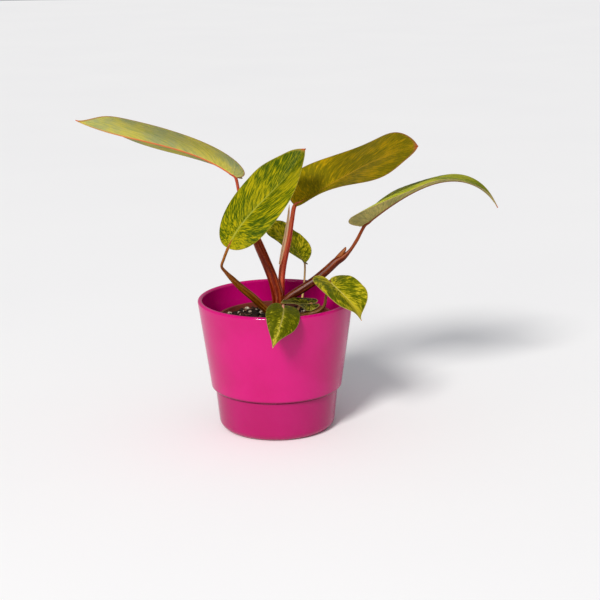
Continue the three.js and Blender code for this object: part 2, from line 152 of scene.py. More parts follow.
# The leaves as in the part's source: where the blade starts, its length and width, and the rise, heading and
# roll of its midrib in degrees at the base, the middle and the tip. folds lifts its left and right halves at
# those three places, and curl turns their edges back down. outline is the lobe, the widest place, and how
# blunt and how tapered the blade is, as shares of the length. wave is the height, count and phase of the
# waves along its edge. Each point of the petiole's path, and of its sheath's free tip, ear, has a radius.
LEAVES = [
    {
        "name": "left_leaf",
        "base": (-33.5, 10, 223.4),
        "length": 152,
        "width": 58,
        "rise": (37, 13, 21),
        "heading": (172, 173, 153),
        "roll": (27, 32, 44),
        "folds": ((43, 41, 51), (41, 42, 52)),
        "curl": (31, 31),
        "outline": (0.06, 0.45, 0.3, 0.09),
        "wave": (0.45, 2.66, 0.34),
        "path": [
            (5, -12, 100, 4.6), (2.5, -11, 113, 4.8), (1.8, -9.5, 121.5, 4.8), (-2, -7, 136, 4.4),
            (-7.5, -4, 150, 4.2), (-13.6, -1.5, 164.5, 4.1), (-19.5, 1.5, 179, 3.3), (-25.5, 5, 196, 2),
            (-30, 7.5, 209, 1.4), (-33.5, 10, 223.4, 1.3),
        ],
    },
    {
        "name": "upper_leaf",
        "base": (18.5, 7, 198),
        "length": 126,
        "width": 62,
        "rise": (27, 29.5, 13.5),
        "heading": (17, -22.5, -27),
        "roll": (26, 30, 57),
        "folds": ((49, 6, 1.5), (38, 10, 1)),
        "curl": (-2.5, -3),
        "outline": (0.02, 0.43, 0.47, 0.02),
        "wave": (-1.7, 2.54, -0.9),
        "path": [
            (6, -9, 100, 2.8), (5.8, -3, 112, 2.7), (5.6, -1, 123.5, 2.8), (5.8, 0, 133.5, 2.9),
            (7.2, 1.5, 145, 3), (10.1, 2.5, 158, 2.7), (13.2, 4, 170.5, 2.2), (15.5, 5.5, 185, 2),
            (18.5, 7, 198, 1.8),
        ],
    },
    {
        "name": "right_leaf",
        "base": (79, -4.4, 182),
        "length": 147.5,
        "width": 62.5,
        "rise": (41, 8.1, -61.5),
        "heading": (-15.6, 25.6, 9.3),
        "roll": (-11.8, -5.3, 29.8),
        "folds": ((54.6, 31.7, 21.4), (56.5, 40.7, 18.1)),
        "curl": (35.7, 38.4),
        "outline": (0.07, 0.28, 0.23, 0.14),
        "wave": (-2.6, 2.24, -2.24),
        "path": [
            (5, -13, 102, 3), (7, -12.5, 115, 3.1), (12, -12, 120, 3.5), (22.5, -11, 126.5, 3.8),
            (35, -9.5, 134.5, 3.8), (46, -8.5, 143.5, 3.7), (54, -7.5, 150.6, 3.5),
            (59.8, -7, 154.2, 2.8), (65.3, -6.5, 159.4, 1.6), (71.5, -5.5, 168.5, 1.5),
            (76, -4.7, 177, 1.4), (79, -4.4, 182, 1.4),
        ],
        "ear": [
            (54, -6.5, 151.6, 2.6), (57.8, -6.5, 156.3, 2.3), (60.2, -6.5, 159.6, 1.7),
            (61.5, -6.5, 161.6, 1.2), (62, -6.5, 163, 0.5),
        ],
    },
    {
        "name": "front_leaf",
        "base": (-38.4, -46, 172.6),
        "length": 108,
        "width": 53.5,
        "rise": (66, 40, 60),
        "heading": (18, 23, 29),
        "roll": (38, 23, 8),
        "folds": ((0, 17, 36), (-2, 16, 39)),
        "curl": (9.5, 10.5),
        "outline": (0, 0.58, 0.32, 0.01),
        "wave": (1.3, 2.15, 0.7),
        "path": [
            (3, -15, 102, 3.2), (-9, -20, 112.5, 3.3), (-18.5, -25, 123.5, 3.3), (-29, -30.5, 134.5, 3),
            (-36, -34.5, 143, 2.4), (-41.5, -37.5, 150, 1.5), (-44.5, -39.5, 155, 1.2),
            (-42.5, -42, 162, 1.2), (-38.4, -46, 172.6, 1.2),
        ],
    },
    {
        "name": "back_small_leaf",
        "base": (26, 27, 142),
        "length": 53.5,
        "width": 35,
        "rise": (56, 47, 42),
        "heading": (186, 180, 164),
        "roll": (-17, -31, -61),
        "folds": ((20, 10, -5), (21.5, 8, -2)),
        "curl": (-9.5, -9),
        "outline": (0.05, 0.37, 0.3, 0.09),
        "wave": (3, 2.24, -2.3),
        "path": [
            (13, -7, 98, 1.3), (19, 0, 104, 1.2), (23, 8, 111, 1.1), (24.5, 14, 117, 1),
            (26, 20.5, 129, 0.9), (26, 27, 142, 0.8),
        ],
    },
    {
        "name": "inner_small_leaf",
        "base": (31.6, -27, 118),
        "length": 30.7,
        "width": 28,
        "rise": (-1, 12, 7),
        "heading": (186, 211, 212),
        "roll": (-4, -6, -4),
        "folds": ((8, 12, 12), (7, 12, 12.5)),
        "curl": (10, 9),
        "outline": (0.24, 0.3, 0.28, 0.12),
        "wave": (1.5, 1.63, -1.3),
        "path": [
            (11, -15, 100, 1.5), (18, -19, 105, 1.4), (27, -24, 110, 1.3), (33, -27, 114, 1.2),
            (31.6, -27, 118, 1.2),
        ],
    },
    {
        "name": "rim_small_leaf",
        "base": (7.3, -55, 123.4),
        "length": 50.7,
        "width": 29.5,
        "rise": (-3, -30, -57),
        "heading": (-83, -104, -125),
        "roll": (-13, -12, -7),
        "folds": ((8, -0.5, 3), (10, 4, 3.5)),
        "curl": (14, 16),
        "outline": (0.15, 0.32, 0.26, 0.12),
        "wave": (1.8, 2.05, 1.3),
        "path": [
            (5, -19, 100, 1.5), (6, -27, 108, 1.4), (7, -37, 116, 1.3), (7.5, -46, 121.5, 1.3),
            (7.3, -55, 123.4, 1.2),
        ],
    },
    {
        "name": "right_small_leaf",
        "base": (47, -42, 142),
        "length": 51.5,
        "width": 39,
        "rise": (-7, -32, -66),
        "heading": (-78, -43, -29),
        "roll": (0, 1, 0),
        "folds": ((17, 15, 4), (17, 16, 5)),
        "curl": (-4, 0),
        "outline": (0.19, 0.51, 0.31, 0.12),
        "wave": (2.8, 1.3, 1.56),
        "path": [
            (10, -19, 98, 2.2), (16, -28, 104, 2.2), (22, -36, 109, 2.2), (29.5, -41, 112.5, 2.1),
            (38, -41.5, 115.5, 1.9), (42.5, -41.5, 120.5, 1.4), (44, -41.5, 128.5, 1.1),
            (47, -42, 142, 1.1),
        ],
    },
]

# The new leaf, still rolled up in its sheath.
NEW_LEAF_PATH = [
    (4.6, -0.5, 147, 1.2),
    (7.2, 0.8, 159, 1.7),
    (9.8, 1.8, 171, 1.6),
    (11.6, 2.6, 182, 1.3),
    (12.6, 3.4, 190, 1),
    (13.4, 4.2, 199, 0.5),
]
NEW_LEAF_STOPS = [
    (0.0, (246, 90, 54)),
    (0.3, (255, 172, 122)),
    (0.65, (255, 212, 164)),
    (1.0, (236, 160, 110)),
]
# The colour of its side towards the front, partly its own flush and partly a painted highlight.
NEW_LEAF_FLUSH_AND_HIGHLIGHT = (255, 214, 166)
NEW_LEAF_STRIPES = 0.1

# Colours as seen on screen, red, green and blue from 0 to 255. streaks go from the deepest green to yellow,
# under is the lower face and its flecks, and ribs the midrib above and below. yellow_shift moves the whole
# face towards yellow, zones is how unevenly, glow is how much more of it lies along the midrib and
# glow_width how far from it in metres. lean is how far the streaks lean towards the tip, as a share of the
# length, and the last key gives painted light and shade: how bright the upper face is at its base, middle and
# tip.
STREAK_PLACES = (0.3, 0.44, 0.57, 0.74)
PLAIN_FACE = {
    "yellow_shift": 0,
    "zones": 0.3,
    "glow": 0,
    "glow_width": 0.006,
    "lean": 0.09,
    "painted_light": (1.0, 1.0, 1.0),
}
FACES = {
    "left_leaf": {
        **PLAIN_FACE,
        "slot": "blade_pale",
        "streaks": [(84, 96, 20), (116, 122, 34), (150, 148, 44), (186, 178, 64)],
        "under": [(148, 152, 100), (186, 174, 74)],
        "ribs": [(176, 160, 84), (196, 104, 66)],
        "margin": (150, 96, 60),
        "tip": (190, 92, 48),
        "lean": 0.3,
    },
    "upper_leaf": {
        **PLAIN_FACE,
        "slot": "blade_ochre",
        "streaks": [(89, 81, 1), (102, 91, 1), (116, 99, 1), (141, 113, 2)],
        "under": [(146, 140, 92), (168, 158, 84)],
        "ribs": [(150, 118, 30), (190, 110, 80)],
        "margin": (128, 84, 40),
        "tip": (140, 64, 34),
        "zones": 0.35,
        "glow": 0.16,
        "painted_light": (2.3, 1.0, 1.0),
    },
    "right_leaf": {
        **PLAIN_FACE,
        "slot": "blade_pale",
        "streaks": [(100, 112, 12), (132, 144, 22), (160, 166, 30), (188, 186, 50)],
        "under": [(152, 142, 86), (188, 173, 97)],
        "ribs": [(170, 150, 90), (128, 70, 42)],
        "margin": (176, 150, 104),
        "tip": (176, 84, 40),
        "yellow_shift": 0.07,
        "zones": 0.25,
        "lean": 0.25,
        "painted_light": (1.3, 0.85, 0.62),
    },
    "front_leaf": {
        **PLAIN_FACE,
        "slot": "blade_yellow",
        "streaks": [(50, 68, 1), (74, 87, 1), (107, 110, 1), (153, 141, 5)],
        "under": [(140, 142, 80), (170, 164, 80)],
        "ribs": [(150, 150, 48), (170, 120, 70)],
        "margin": (138, 124, 44),
        "tip": (170, 70, 40),
        "yellow_shift": 0.04,
    },
    "back_small_leaf": {
        **PLAIN_FACE,
        "slot": "blade_green",
        "streaks": [(82, 92, 3), (120, 126, 5), (164, 158, 12), (216, 198, 38)],
        "under": [(110, 112, 60), (140, 136, 60)],
        "ribs": [(150, 140, 70), (150, 130, 80)],
        "margin": (140, 124, 60),
        "tip": (160, 110, 60),
        "glow": 0.06,
        "glow_width": 0.004,
        "painted_light": (1.45, 1.15, 0.85),
    },
    "inner_small_leaf": {
        **PLAIN_FACE,
        "slot": "blade_green",
        "streaks": [(26, 28, 1), (60, 60, 4), (96, 92, 12), (140, 134, 44)],
        "under": [(110, 108, 56), (140, 132, 66)],
        "ribs": [(130, 120, 60), (140, 110, 70)],
        "margin": (146, 136, 76),
        "tip": (150, 110, 70),
        "yellow_shift": -0.1,
        "zones": 0.2,
        "glow_width": 0.004,
    },
    "rim_small_leaf": {
        **PLAIN_FACE,
        "slot": "blade_green",
        "streaks": [(70, 75, 1), (94, 96, 3), (120, 118, 8), (180, 166, 50)],
        "under": [(110, 112, 60), (140, 136, 60)],
        "ribs": [(150, 140, 70), (150, 120, 80)],
        "margin": (120, 112, 50),
        "tip": (206, 192, 120),
        "yellow_shift": -0.18,
        "zones": 0.15,
        "glow": 0.34,
        "glow_width": 0.004,
    },
    "right_small_leaf": {
        **PLAIN_FACE,
        "slot": "blade_yellow",
        "streaks": [(72, 82, 3), (100, 104, 5), (132, 128, 9), (184, 168, 34)],
        "under": [(130, 128, 66), (160, 150, 70)],
        "ribs": [(190, 176, 90), (160, 120, 70)],
        "margin": (170, 150, 70),
        "tip": (206, 130, 40),
        "yellow_shift": -0.04,
        "glow": 0.42,
        "glow_width": 0.01,
    },
}

# Petiole colours from the crown to the blade, that of its upper side, partly its own flush and partly a
# painted highlight, how dark the stripes along it are, and how its sheath lies: the share of the length that
# it covers, how deep its groove is, and how far the groove is turned from the upper side, in degrees.
PLAIN_STALK = {"stripes": 0.4, "sheath": 0.4, "groove": 0.2, "turn": 0}
STALKS = {
    "left_leaf": {
        **PLAIN_STALK,
        "slot": "petiole_brown",
        "stops": [(0.0, (102, 22, 0)), (0.3, (132, 36, 0)), (0.7, (147, 53, 0)), (0.86, (176, 74, 50))],
        "flush_and_highlight": (176, 76, 24),
        "stripes": 0.85,
        "sheath": 0.7,
        "groove": 0.08,
        "turn": 60,
    },
    "upper_leaf": {
        **PLAIN_STALK,
        "slot": "petiole_pink",
        "stops": [(0.0, (135, 4, 1)), (0.3, (170, 15, 1)), (0.7, (184, 32, 1)), (1.0, (210, 55, 4))],
        "flush_and_highlight": (255, 128, 90),
        "stripes": 0.5,
        "sheath": 0.55,
    },
    "right_leaf": {
        **PLAIN_STALK,
        "slot": "petiole_brown",
        "stops": [(0.0, (66, 19, 1)), (0.35, (82, 24, 1)), (0.68, (98, 33, 1)), (0.8, (124, 51, 1))],
        "flush_and_highlight": (150, 84, 34),
        "stripes": 0.85,
        "sheath": 0.68,
        "groove": 0.35,
        "turn": -110,
    },
    "front_leaf": {
        **PLAIN_STALK,
        "slot": "petiole_olive",
        "stops": [(0.0, (98, 50, 0)), (0.4, (118, 70, 0)), (0.68, (112, 59, 0)), (0.85, (136, 80, 0))],
        "flush_and_highlight": (140, 92, 30),
        "stripes": 0.85,
        "sheath": 0.68,
        "groove": 0.45,
        "turn": 10,
    },
    "back_small_leaf": {
        **PLAIN_STALK,
        "slot": "petiole_cream",
        "stops": [(0.0, (93, 54, 11)), (0.4, (127, 77, 24)), (1.0, (159, 101, 36))],
        "flush_and_highlight": (214, 180, 120),
        "sheath": 0.3,
    },
    "inner_small_leaf": {
        **PLAIN_STALK,
        "slot": "petiole_brown",
        "stops": [(0.0, (100, 54, 30)), (0.5, (130, 80, 50)), (1.0, (150, 110, 70))],
        "flush_and_highlight": (160, 120, 80),
    },
    "rim_small_leaf": {
        **PLAIN_STALK,
        "slot": "petiole_pink",
        "stops": [(0.0, (130, 60, 50)), (0.5, (170, 96, 86)), (1.0, (190, 130, 110))],
        "flush_and_highlight": (206, 146, 124),
    },
    "right_small_leaf": {
        **PLAIN_STALK,
        "slot": "petiole_olive",
        "stops": [(0.0, (74, 48, 8)), (0.4, (84, 58, 12)), (1.0, (92, 62, 14))],
        "flush_and_highlight": (120, 96, 34),
        "stripes": 0.5,
        "sheath": 0.55,
        "groove": 0.35,
    },
}


def colour(red, green, blue):
    """A screen colour as the linear values that nodes take."""
    values = [c / 255 for c in (red, green, blue)]
    linear = [c / 12.92 if c <= 0.04045 else ((c + 0.055) / 1.055) ** 2.4 for c in values]
    return (*linear, 1.0)


def smooth(low, high, x):
    """0 below low, 1 above high, and a smooth step between them."""
    t = np.clip((x - low) / (high - low), 0, 1)
    return t * t * (3 - 2 * t)


class Graph:
    """The nodes of one material. Inputs are sockets, numbers or screen colours."""

    def __init__(self, name):
        self.material = bpy.data.materials.new(name)
        self.material.use_nodes = True
        self.tree = self.material.node_tree
        self.shader = self.tree.nodes["Principled BSDF"]

    def feed(self, socket, value):
        if isinstance(value, bpy.types.NodeSocket):
            self.tree.links.new(value, socket)
        elif socket.type == "RGBA":
            socket.default_value = colour(*value)
        else:
            socket.default_value = value

    def node(self, kind, inputs=(), **settings):
        node = self.tree.nodes.new(kind)
        for key, value in settings.items():
            setattr(node, key, value)
        for key, value in inputs:
            self.feed(node.inputs[key], value)
        return node

    def attribute(self, name):
        return self.node("ShaderNodeAttribute", attribute_name=name).outputs["Vector"]

    def place(self):
        return self.node("ShaderNodeTexCoord").outputs["Object"]

    def split(self, vector):
        return self.node("ShaderNodeSeparateXYZ", [(0, vector)]).outputs

    def join(self, x, y, z):
        return self.node("ShaderNodeCombineXYZ", [(0, x), (1, y), (2, z)]).outputs[0]

    def math(self, operation, a, b=0.0):
        return self.node("ShaderNodeMath", [(0, a), (1, b)], operation=operation).outputs[0]

    def add(self, a, b):
        return self.math("ADD", a, b)

    def times(self, a, b):
        return self.math("MULTIPLY", a, b)

    def scaled(self, vector, scale):
        inputs = [(0, vector), (1, scale)]
        return self.node("ShaderNodeVectorMath", inputs, operation="MULTIPLY").outputs[0]

    def noise(self, vector, scale=1.0, detail=2.0, roughness=0.5):
        inputs = [("Vector", vector), ("Scale", scale), ("Detail", detail), ("Roughness", roughness)]
        return self.node("ShaderNodeTexNoise", inputs).outputs["Fac"]

    def cells(self, vector, scale):
        inputs = [("Vector", vector), ("Scale", scale)]
        return self.node("ShaderNodeTexVoronoi", inputs).outputs["Distance"]

    def step(self, value, low, high, start=0.0, end=1.0):
        inputs = [("Value", value), ("From Min", low), ("From Max", high), ("To Min", start), ("To Max", end)]
        node = self.node("ShaderNodeMapRange", inputs, interpolation_type="SMOOTHSTEP")
        return node.outputs["Result"]

    def ramp(self, value, stops):
        node = self.node("ShaderNodeValToRGB", [(0, value)])
        elements = node.color_ramp.elements
        while len(elements) < len(stops):
            elements.new(0.5)
        for element, (position, rgb) in zip(elements, stops):
            element.position = position
            element.color = colour(*rgb)
        return node.outputs["Color"]

    def mix(self, factor, a, b, blend="MIX"):
        inputs = [(0, factor), (6, a), (7, b)]
        return self.node("ShaderNodeMix", inputs, data_type="RGBA", blend_type=blend).outputs[2]

    def tinted(self, value, tint):
        return self.mix(1.0, value, tint, "MULTIPLY")

    def finish(self, base, roughness, height=None, distance=0.0, **values):
        """Sets the surface's colour, roughness and other values, with height as its relief."""
        values = {"Base Color": base, "Roughness": roughness, **values}
        if height is not None:
            bump = self.node("ShaderNodeBump", [("Height", height), ("Distance", distance)])
            values["Normal"] = bump.outputs["Normal"]
        for key, value in values.items():
            self.feed(self.shader.inputs[key.replace("_", " ")], value)
        return self.material


def make_piece(name, points, faces, material, slot, stands_for=(), smooth_faces=True, **attributes):
    """A mesh object from points in millimetres, riding on the body, with the material given; slot is not
    used.
    """
    mesh = bpy.data.meshes.new(name)
    mesh.from_pydata((np.asarray(points) * MM).tolist(), [], [list(face) for face in faces])
    if smooth_faces:
        mesh.shade_smooth()
    for key, values in attributes.items():
        layer = mesh.attributes.new(key, "FLOAT_VECTOR", "POINT")
        layer.data.foreach_set("vector", np.asarray(values, np.float32).ravel())
    mesh.materials.append(material)
    piece = bpy.data.objects.new(name, mesh)
    bpy.context.collection.objects.link(piece)
    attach(piece, "root")
    if stands_for:
        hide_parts(*stands_for)
    return piece


def grid_faces(rows, columns, closed=False):
    """Four-sided faces of a grid of points, row after row. closed joins the last column to the first."""
    spans = columns if closed else columns - 1
    row, column = np.meshgrid(np.arange(rows - 1), np.arange(spans), indexing="ij")
    a = row * columns + column
    b = row * columns + (column + 1) % columns
    return np.stack([a, b, b + columns, a + columns], axis=-1).reshape(-1, 4).tolist()


def capped(rings, sides, bottom, top):
    """Points and faces of closed rings of points, with a middle point for each of the two ends."""
    points = np.concatenate([rings.reshape(-1, 3), [bottom, top]])
    first, last = len(points) - 2, len(points) - 1
    count = first // sides
    faces = grid_faces(count, sides, closed=True)
    top_ring = (count - 1) * sides
    for k in range(sides):
        following = (k + 1) % sides
        faces.append((first, following, k))
        faces.append((last, top_ring + k, top_ring + following))
    return points, faces


def join_meshes(parts):
    """Several (points, faces) as one."""
    faces = []
    count = 0
    for points, own_faces in parts:
        faces += [[corner + count for corner in face] for face in own_faces]
        count += len(points)
    return np.concatenate([points for points, _ in parts]), faces


def turned(profile, segments):
    """A profile of (radius, height) turned round Z, from its first point on the axis to its last."""
    profile = np.asarray(profile, float)
    angle = np.linspace(0, 2 * math.pi, segments, endpoint=False)
    rings = profile[1:-1]
    x = rings[:, :1] * np.cos(angle)
    y = rings[:, :1] * np.sin(angle)
    z = np.repeat(rings[:, 1:], segments, axis=1)
    return capped(np.stack([x, y, z], axis=-1), segments, (0, 0, profile[0, 1]), (0, 0, profile[-1, 1]))


def arc(x, y, radius, start, end, steps):
    """Points on an arc about (x, y), with its angles in degrees."""
    angles = np.radians(np.linspace(start, end, steps + 1))
    return [(x + radius * math.cos(a), y + radius * math.sin(a)) for a in angles]


def ramped(start, end, steps):
    """The points of a straight line in equal steps."""
    (x0, y0), (x1, y1) = start, end
    points = [(x0 + (x1 - x0) * k / steps, y0 + (y1 - y0) * k / steps) for k in range(steps)]
    return points + [end]


# Glazed cover pot.
def glaze():
    g = Graph("glaze")
    place = g.place()
    x, y, z = g.split(place)
    drift = g.noise(place, 22, 3)
    base = g.mix(g.step(drift, 0.35, 0.65), (182, 2, 100), (190, 4, 108))
    # Painted shade: the glaze darkened towards the foot band, standing in for a darker reflection there.
    painted_band_shade = g.step(z, (BODY_FOOT_HEIGHT + 2.5) * MM, (BODY_FOOT_HEIGHT - 5.5) * MM, 0.0, 0.4)
    base = g.mix(painted_band_shade, base, (120, 0, 62))
    # Painted shade: the recess under the body's rounded foot, above the band, darkened.
    above_band = g.step(z, (BAND_TOP_HEIGHT - 1.3) * MM, (BAND_TOP_HEIGHT + 0.2) * MM)
    below_body = g.step(z, BODY_FOOT_HEIGHT * MM, (BODY_FOOT_HEIGHT - 1.7) * MM)
    base = g.mix(g.times(g.times(above_band, below_body), 0.75), base, (92, 2, 44))
    speck = g.step(g.cells(place, 260), 0.07, 0.03)
    base = g.mix(g.times(speck, 0.25), base, (140, 4, 70))

    radius = g.math("SQRT", g.add(g.times(x, x), g.times(y, y)))
    ring_outer = FOOT_RADIUS - FOOT_FILLET
    ring = g.times(
        g.step(radius, FOOT_RING_INNER * MM, (FOOT_RING_INNER + 0.4) * MM),
        g.step(radius, (ring_outer + 0.4) * MM, (ring_outer - 0.1) * MM),
    )
    bare = g.times(ring, g.step(z, 0.7 * MM, 0.4 * MM))
    grain = g.noise(place, 900, 3)
    bisque = g.mix(g.step(grain, 0.4, 0.6), (214, 196, 176), (232, 218, 200))
    base = g.mix(bare, base, bisque)

    swell = g.times(g.noise(place, 30, 2), 0.35)
    peel = g.times(g.noise(place, 420, 2), 0.03)
    return g.finish(
        base,
        g.add(g.times(bare, 0.55), g.step(drift, 0.3, 0.7, 0.2, 0.28)),
        g.add(g.add(swell, peel), g.times(grain, g.times(bare, 0.1))),
        0.35 * MM,
        Coat_Weight=g.step(bare, 0.0, 1.0, 0.78, 0.0),
        Coat_Roughness=0.06,
        Coat_IOR=1.45,
        Specular_IOR_Level=0.0,
    )


def make_cover_pot():
    lip = POT_HEIGHT - RIM_ROUNDING
    lip_width = POT_WALL - RIM_ROUNDING
    outside = ramped((BODY_FOOT_RADIUS, BODY_FOOT_HEIGHT), (RIM_RADIUS, lip), 14)
    body_inside = (BODY_FOOT_RADIUS - POT_WALL + 0.9, BODY_FOOT_HEIGHT + 7)
    band_inside = (BAND_TOP_RADIUS - POT_WALL, BAND_TOP_HEIGHT - 3)
    foot_inside = (FOOT_RADIUS - POT_WALL - 0.5, POT_FLOOR + 6)
    profile = [
        (0, UNDERSIDE_RISE),
        (FOOT_RING_INNER - 3, UNDERSIDE_RISE),
        *arc(FOOT_RING_INNER - 0.5, UNDERSIDE_RISE - 0.6, 0.6, 90, 0, 4),
        *arc(FOOT_RING_INNER + 1.1, 0.5, 0.5, 180, 270, 4),
        *arc(FOOT_RADIUS - FOOT_FILLET, FOOT_FILLET, FOOT_FILLET, -90, -5, 18),
        (BAND_TOP_RADIUS - 0.15, BAND_TOP_HEIGHT - 2),
        (BAND_TOP_RADIUS, BAND_TOP_HEIGHT - 0.6),
        (BAND_TOP_RADIUS - 0.1, BAND_TOP_HEIGHT - 0.1),
        *arc(BAND_TOP_RADIUS + 0.35, BAND_TOP_HEIGHT + 0.5, 0.95, 200, 110, 6),
        *arc(BODY_FOOT_RADIUS - 2.4, BODY_FOOT_HEIGHT, 2.4, -90, -8, 12),
        *outside[1:-1],
        *arc(RIM_RADIUS - RIM_ROUNDING, lip, RIM_ROUNDING, 0, 90, 10),
        *arc(RIM_RADIUS - lip_width, lip, RIM_ROUNDING, 95, 180, 9),
        *ramped((RIM_RADIUS - POT_WALL, lip - 2), body_inside, 8),
        *ramped(band_inside, foot_inside, 4),
        *arc(FOOT_RADIUS - POT_WALL - 6.5, POT_FLOOR + 6, 6, -5, -90, 6),
        (0, POT_FLOOR),
    ]
    make_piece("cover_pot_glazed", *turned(profile, POT_SEGMENTS), glaze(), "glaze", ["cover_pot"])


# Nursery pot.
def nursery_plastic():
    g = Graph("nursery_plastic")
    place = g.place()
    _, _, z = g.split(place)
    drift = g.noise(place, 60, 3)
    base = g.mix(g.step(drift, 0.35, 0.65), (98, 38, 26), (122, 52, 34))
    dust = g.noise(place, 500, 4, 0.7)
    high = g.step(z, (NURSERY_TOP - 12.3) * MM, (NURSERY_TOP - 1.3) * MM)
    base = g.mix(g.times(g.step(dust, 0.55, 0.75), g.times(high, 0.5)), base, (84, 60, 44))
    return g.finish(base, g.step(dust, 0.3, 0.7, 0.36, 0.58), g.noise(place, 1400, 2), 0.06 * MM)


def cut_holes(piece, count, circle, radius, height):
    """Cuts round holes up to a height through the floor of a piece, on a circle about the axis."""
    cutter_mesh = bpy.data.meshes.new("drain_holes")
    shape = bmesh.new()
    size = radius * MM
    for k in range(count):
        angle = 2 * math.pi * k / count
        middle = Vector((circle * math.cos(angle), circle * math.sin(angle), height / 2)) * MM
        bmesh.ops.create_cone(
            shape,
            cap_ends=True,
            segments=32,
            radius1=size,
            radius2=size,
            depth=height * MM,
            matrix=Matrix.Translation(middle),
        )
    shape.to_mesh(cutter_mesh)
    shape.free()
    cutter = bpy.data.objects.new("drain_holes", cutter_mesh)
    bpy.context.collection.objects.link(cutter)
    modifier = piece.modifiers.new("drain_holes", "BOOLEAN")
    modifier.operation = "DIFFERENCE"
    modifier.object = cutter
    graph = bpy.context.evaluated_depsgraph_get()
    cut = bpy.data.meshes.new_from_object(piece.evaluated_get(graph))
    piece.modifiers.clear()
    piece.data = cut
    bpy.data.objects.remove(cutter)


def make_nursery_pot():
    foot, top = NURSERY_FOOT, NURSERY_TOP
    inside = NURSERY_TOP_RADIUS - NURSERY_WALL
    wall_foot = (NURSERY_FOOT_RADIUS + 0.3, foot + 4)
    wall_top = (NURSERY_TOP_RADIUS - 1, top - NURSERY_COLLAR - 1)
    profile = [
        (0, foot),
        (NURSERY_FOOT_RADIUS - 6, foot),
        (NURSERY_FOOT_RADIUS - 2, foot),
        *arc(NURSERY_FOOT_RADIUS - 2, foot + 2, 2, -80, 0, 4),
        *ramped(wall_foot, wall_top, 5),
        (NURSERY_RIM_RADIUS - 0.7, top - NURSERY_COLLAR - 0.2),
        (NURSERY_RIM_RADIUS - 0.4, top - NURSERY_COLLAR + 0.4),
        (NURSERY_RIM_RADIUS - 0.1, top - 1.2),
        *arc(NURSERY_RIM_RADIUS - 0.6, top - 0.6, 0.6, 0, 90, 5),
        *arc(inside + 0.5, top - 0.5, 0.5, 90, 180, 4),
        (inside - 0.8, top - NURSERY_COLLAR),
        (NURSERY_FOOT_RADIUS - NURSERY_WALL, foot + NURSERY_WALL + 1.5),
        (NURSERY_FOOT_RADIUS - NURSERY_WALL - 1.5, foot + NURSERY_WALL),
        (0, foot + NURSERY_WALL),
    ]
    shape = turned(profile, NURSERY_SEGMENTS)
    piece = make_piece("nursery_pot_plastic", *shape, nursery_plastic(), "nursery_plastic", ["nursery_pot"])
    cut_holes(piece, DRAIN_HOLES, DRAIN_HOLE_CIRCLE, DRAIN_HOLE_RADIUS, 12)


# Potting mix.
def make_lumps():
    """Seeded bumps of the mix's top: place, size and height of each, in millimetres."""
    random = np.random.default_rng(LUMP_SEED)
    radius = 49 * np.sqrt(random.random(MIX_LUMPS))
    angle = 2 * math.pi * random.random(MIX_LUMPS)
    size = 0.9 + 3.2 * random.random(MIX_LUMPS) ** 2
    height = size * (0.55 * random.random(MIX_LUMPS) - 0.18)
    return radius * np.cos(angle), radius * np.sin(angle), size, height


LUMPS = make_lumps()


def mix_height(x, y):
    """Height of the mix's top at points in millimetres."""
    x, y = np.atleast_1d(x), np.atleast_1d(y)
    height = MIX_RISE * np.exp(-((x - CROWN["x"]) ** 2 + (y - CROWN["y"]) ** 2) / 700)
    for lump_x, lump_y, size, rise in zip(*LUMPS):
        height += rise * np.exp(-((x - lump_x) ** 2 + (y - lump_y) ** 2) / size**2)
    inward = 1 - np.hypot(x, y) / MIX_EDGE
    return MIX_EDGE_HEIGHT + height * np.clip(inward * 8, 0, 1)


def mix_material():
    g = Graph("potting_mix")
    place = g.place()
    broad = g.noise(place, 160, 4, 0.7)
    fine = g.noise(place, 1100, 4, 0.7)
    base = g.ramp(broad, [(0.35, (14, 8, 5)), (0.5, (30, 19, 13)), (0.65, (54, 35, 24))])
    base = g.mix(g.step(fine, 0.58, 0.72), base, (84, 58, 42))
    base = g.mix(g.step(fine, 0.46, 0.34), base, (12, 8, 6))
    return g.finish(base, g.step(broad, 0.3, 0.7, 0.75, 0.98), fine, 0.6 * MM, Specular_IOR_Level=0.2)


def perlite_material():
    g = Graph("perlite")
    place = g.place()
    fine = g.noise(place, 900, 4, 0.6)
    pits = g.cells(place, 1500)
    base = g.ramp(fine, [(0.34, (104, 84, 66)), (0.5, (166, 148, 126)), (0.64, (212, 200, 182))])
    return g.finish(base, g.step(fine, 0.3, 0.7, 0.8, 0.95), g.add(fine, g.times(pits, 0.5)), 0.3 * MM)


def bark_material():
    g = Graph("bark_bits")
    place = g.place()
    lines = g.noise(g.scaled(place, (300, 900, 900)), 1, 4, 0.6)
    broad = g.noise(place, 120, 2)
    base = g.ramp(lines, [(0.36, (58, 34, 20)), (0.5, (104, 66, 40)), (0.62, (150, 104, 66))])
    base = g.mix(g.step(broad, 0.4, 0.6, 0.0, 0.6), base, (50, 32, 22))
    return g.finish(base, g.step(lines, 0.3, 0.7, 0.7, 0.9), lines, 0.3 * MM)


def make_mix():
    foot = NURSERY_FOOT + NURSERY_WALL + GAP
    bottom = NURSERY_FOOT_RADIUS - NURSERY_WALL - GAP
    profile = [(0, foot), (bottom - 2, foot), (bottom - 0.4, foot + 1.5)]
    profile += ramped((MIX_EDGE - 0.4, MIX_EDGE_HEIGHT - 4), (MIX_EDGE, MIX_EDGE_HEIGHT), 2)
    for ring in range(1, MIX_RINGS + 1):
        profile.append((MIX_EDGE * (1 - ring / MIX_RINGS), MIX_EDGE_HEIGHT))
    points, faces = turned(profile, MIX_SEGMENTS)
    top = points[:, 2] > MIX_EDGE_HEIGHT - 0.01
    points[top, 2] = mix_height(points[top, 0], points[top, 1])
    make_piece("potting_mix_fine", points, faces, mix_material(), "potting_mix", ["potting_mix"])


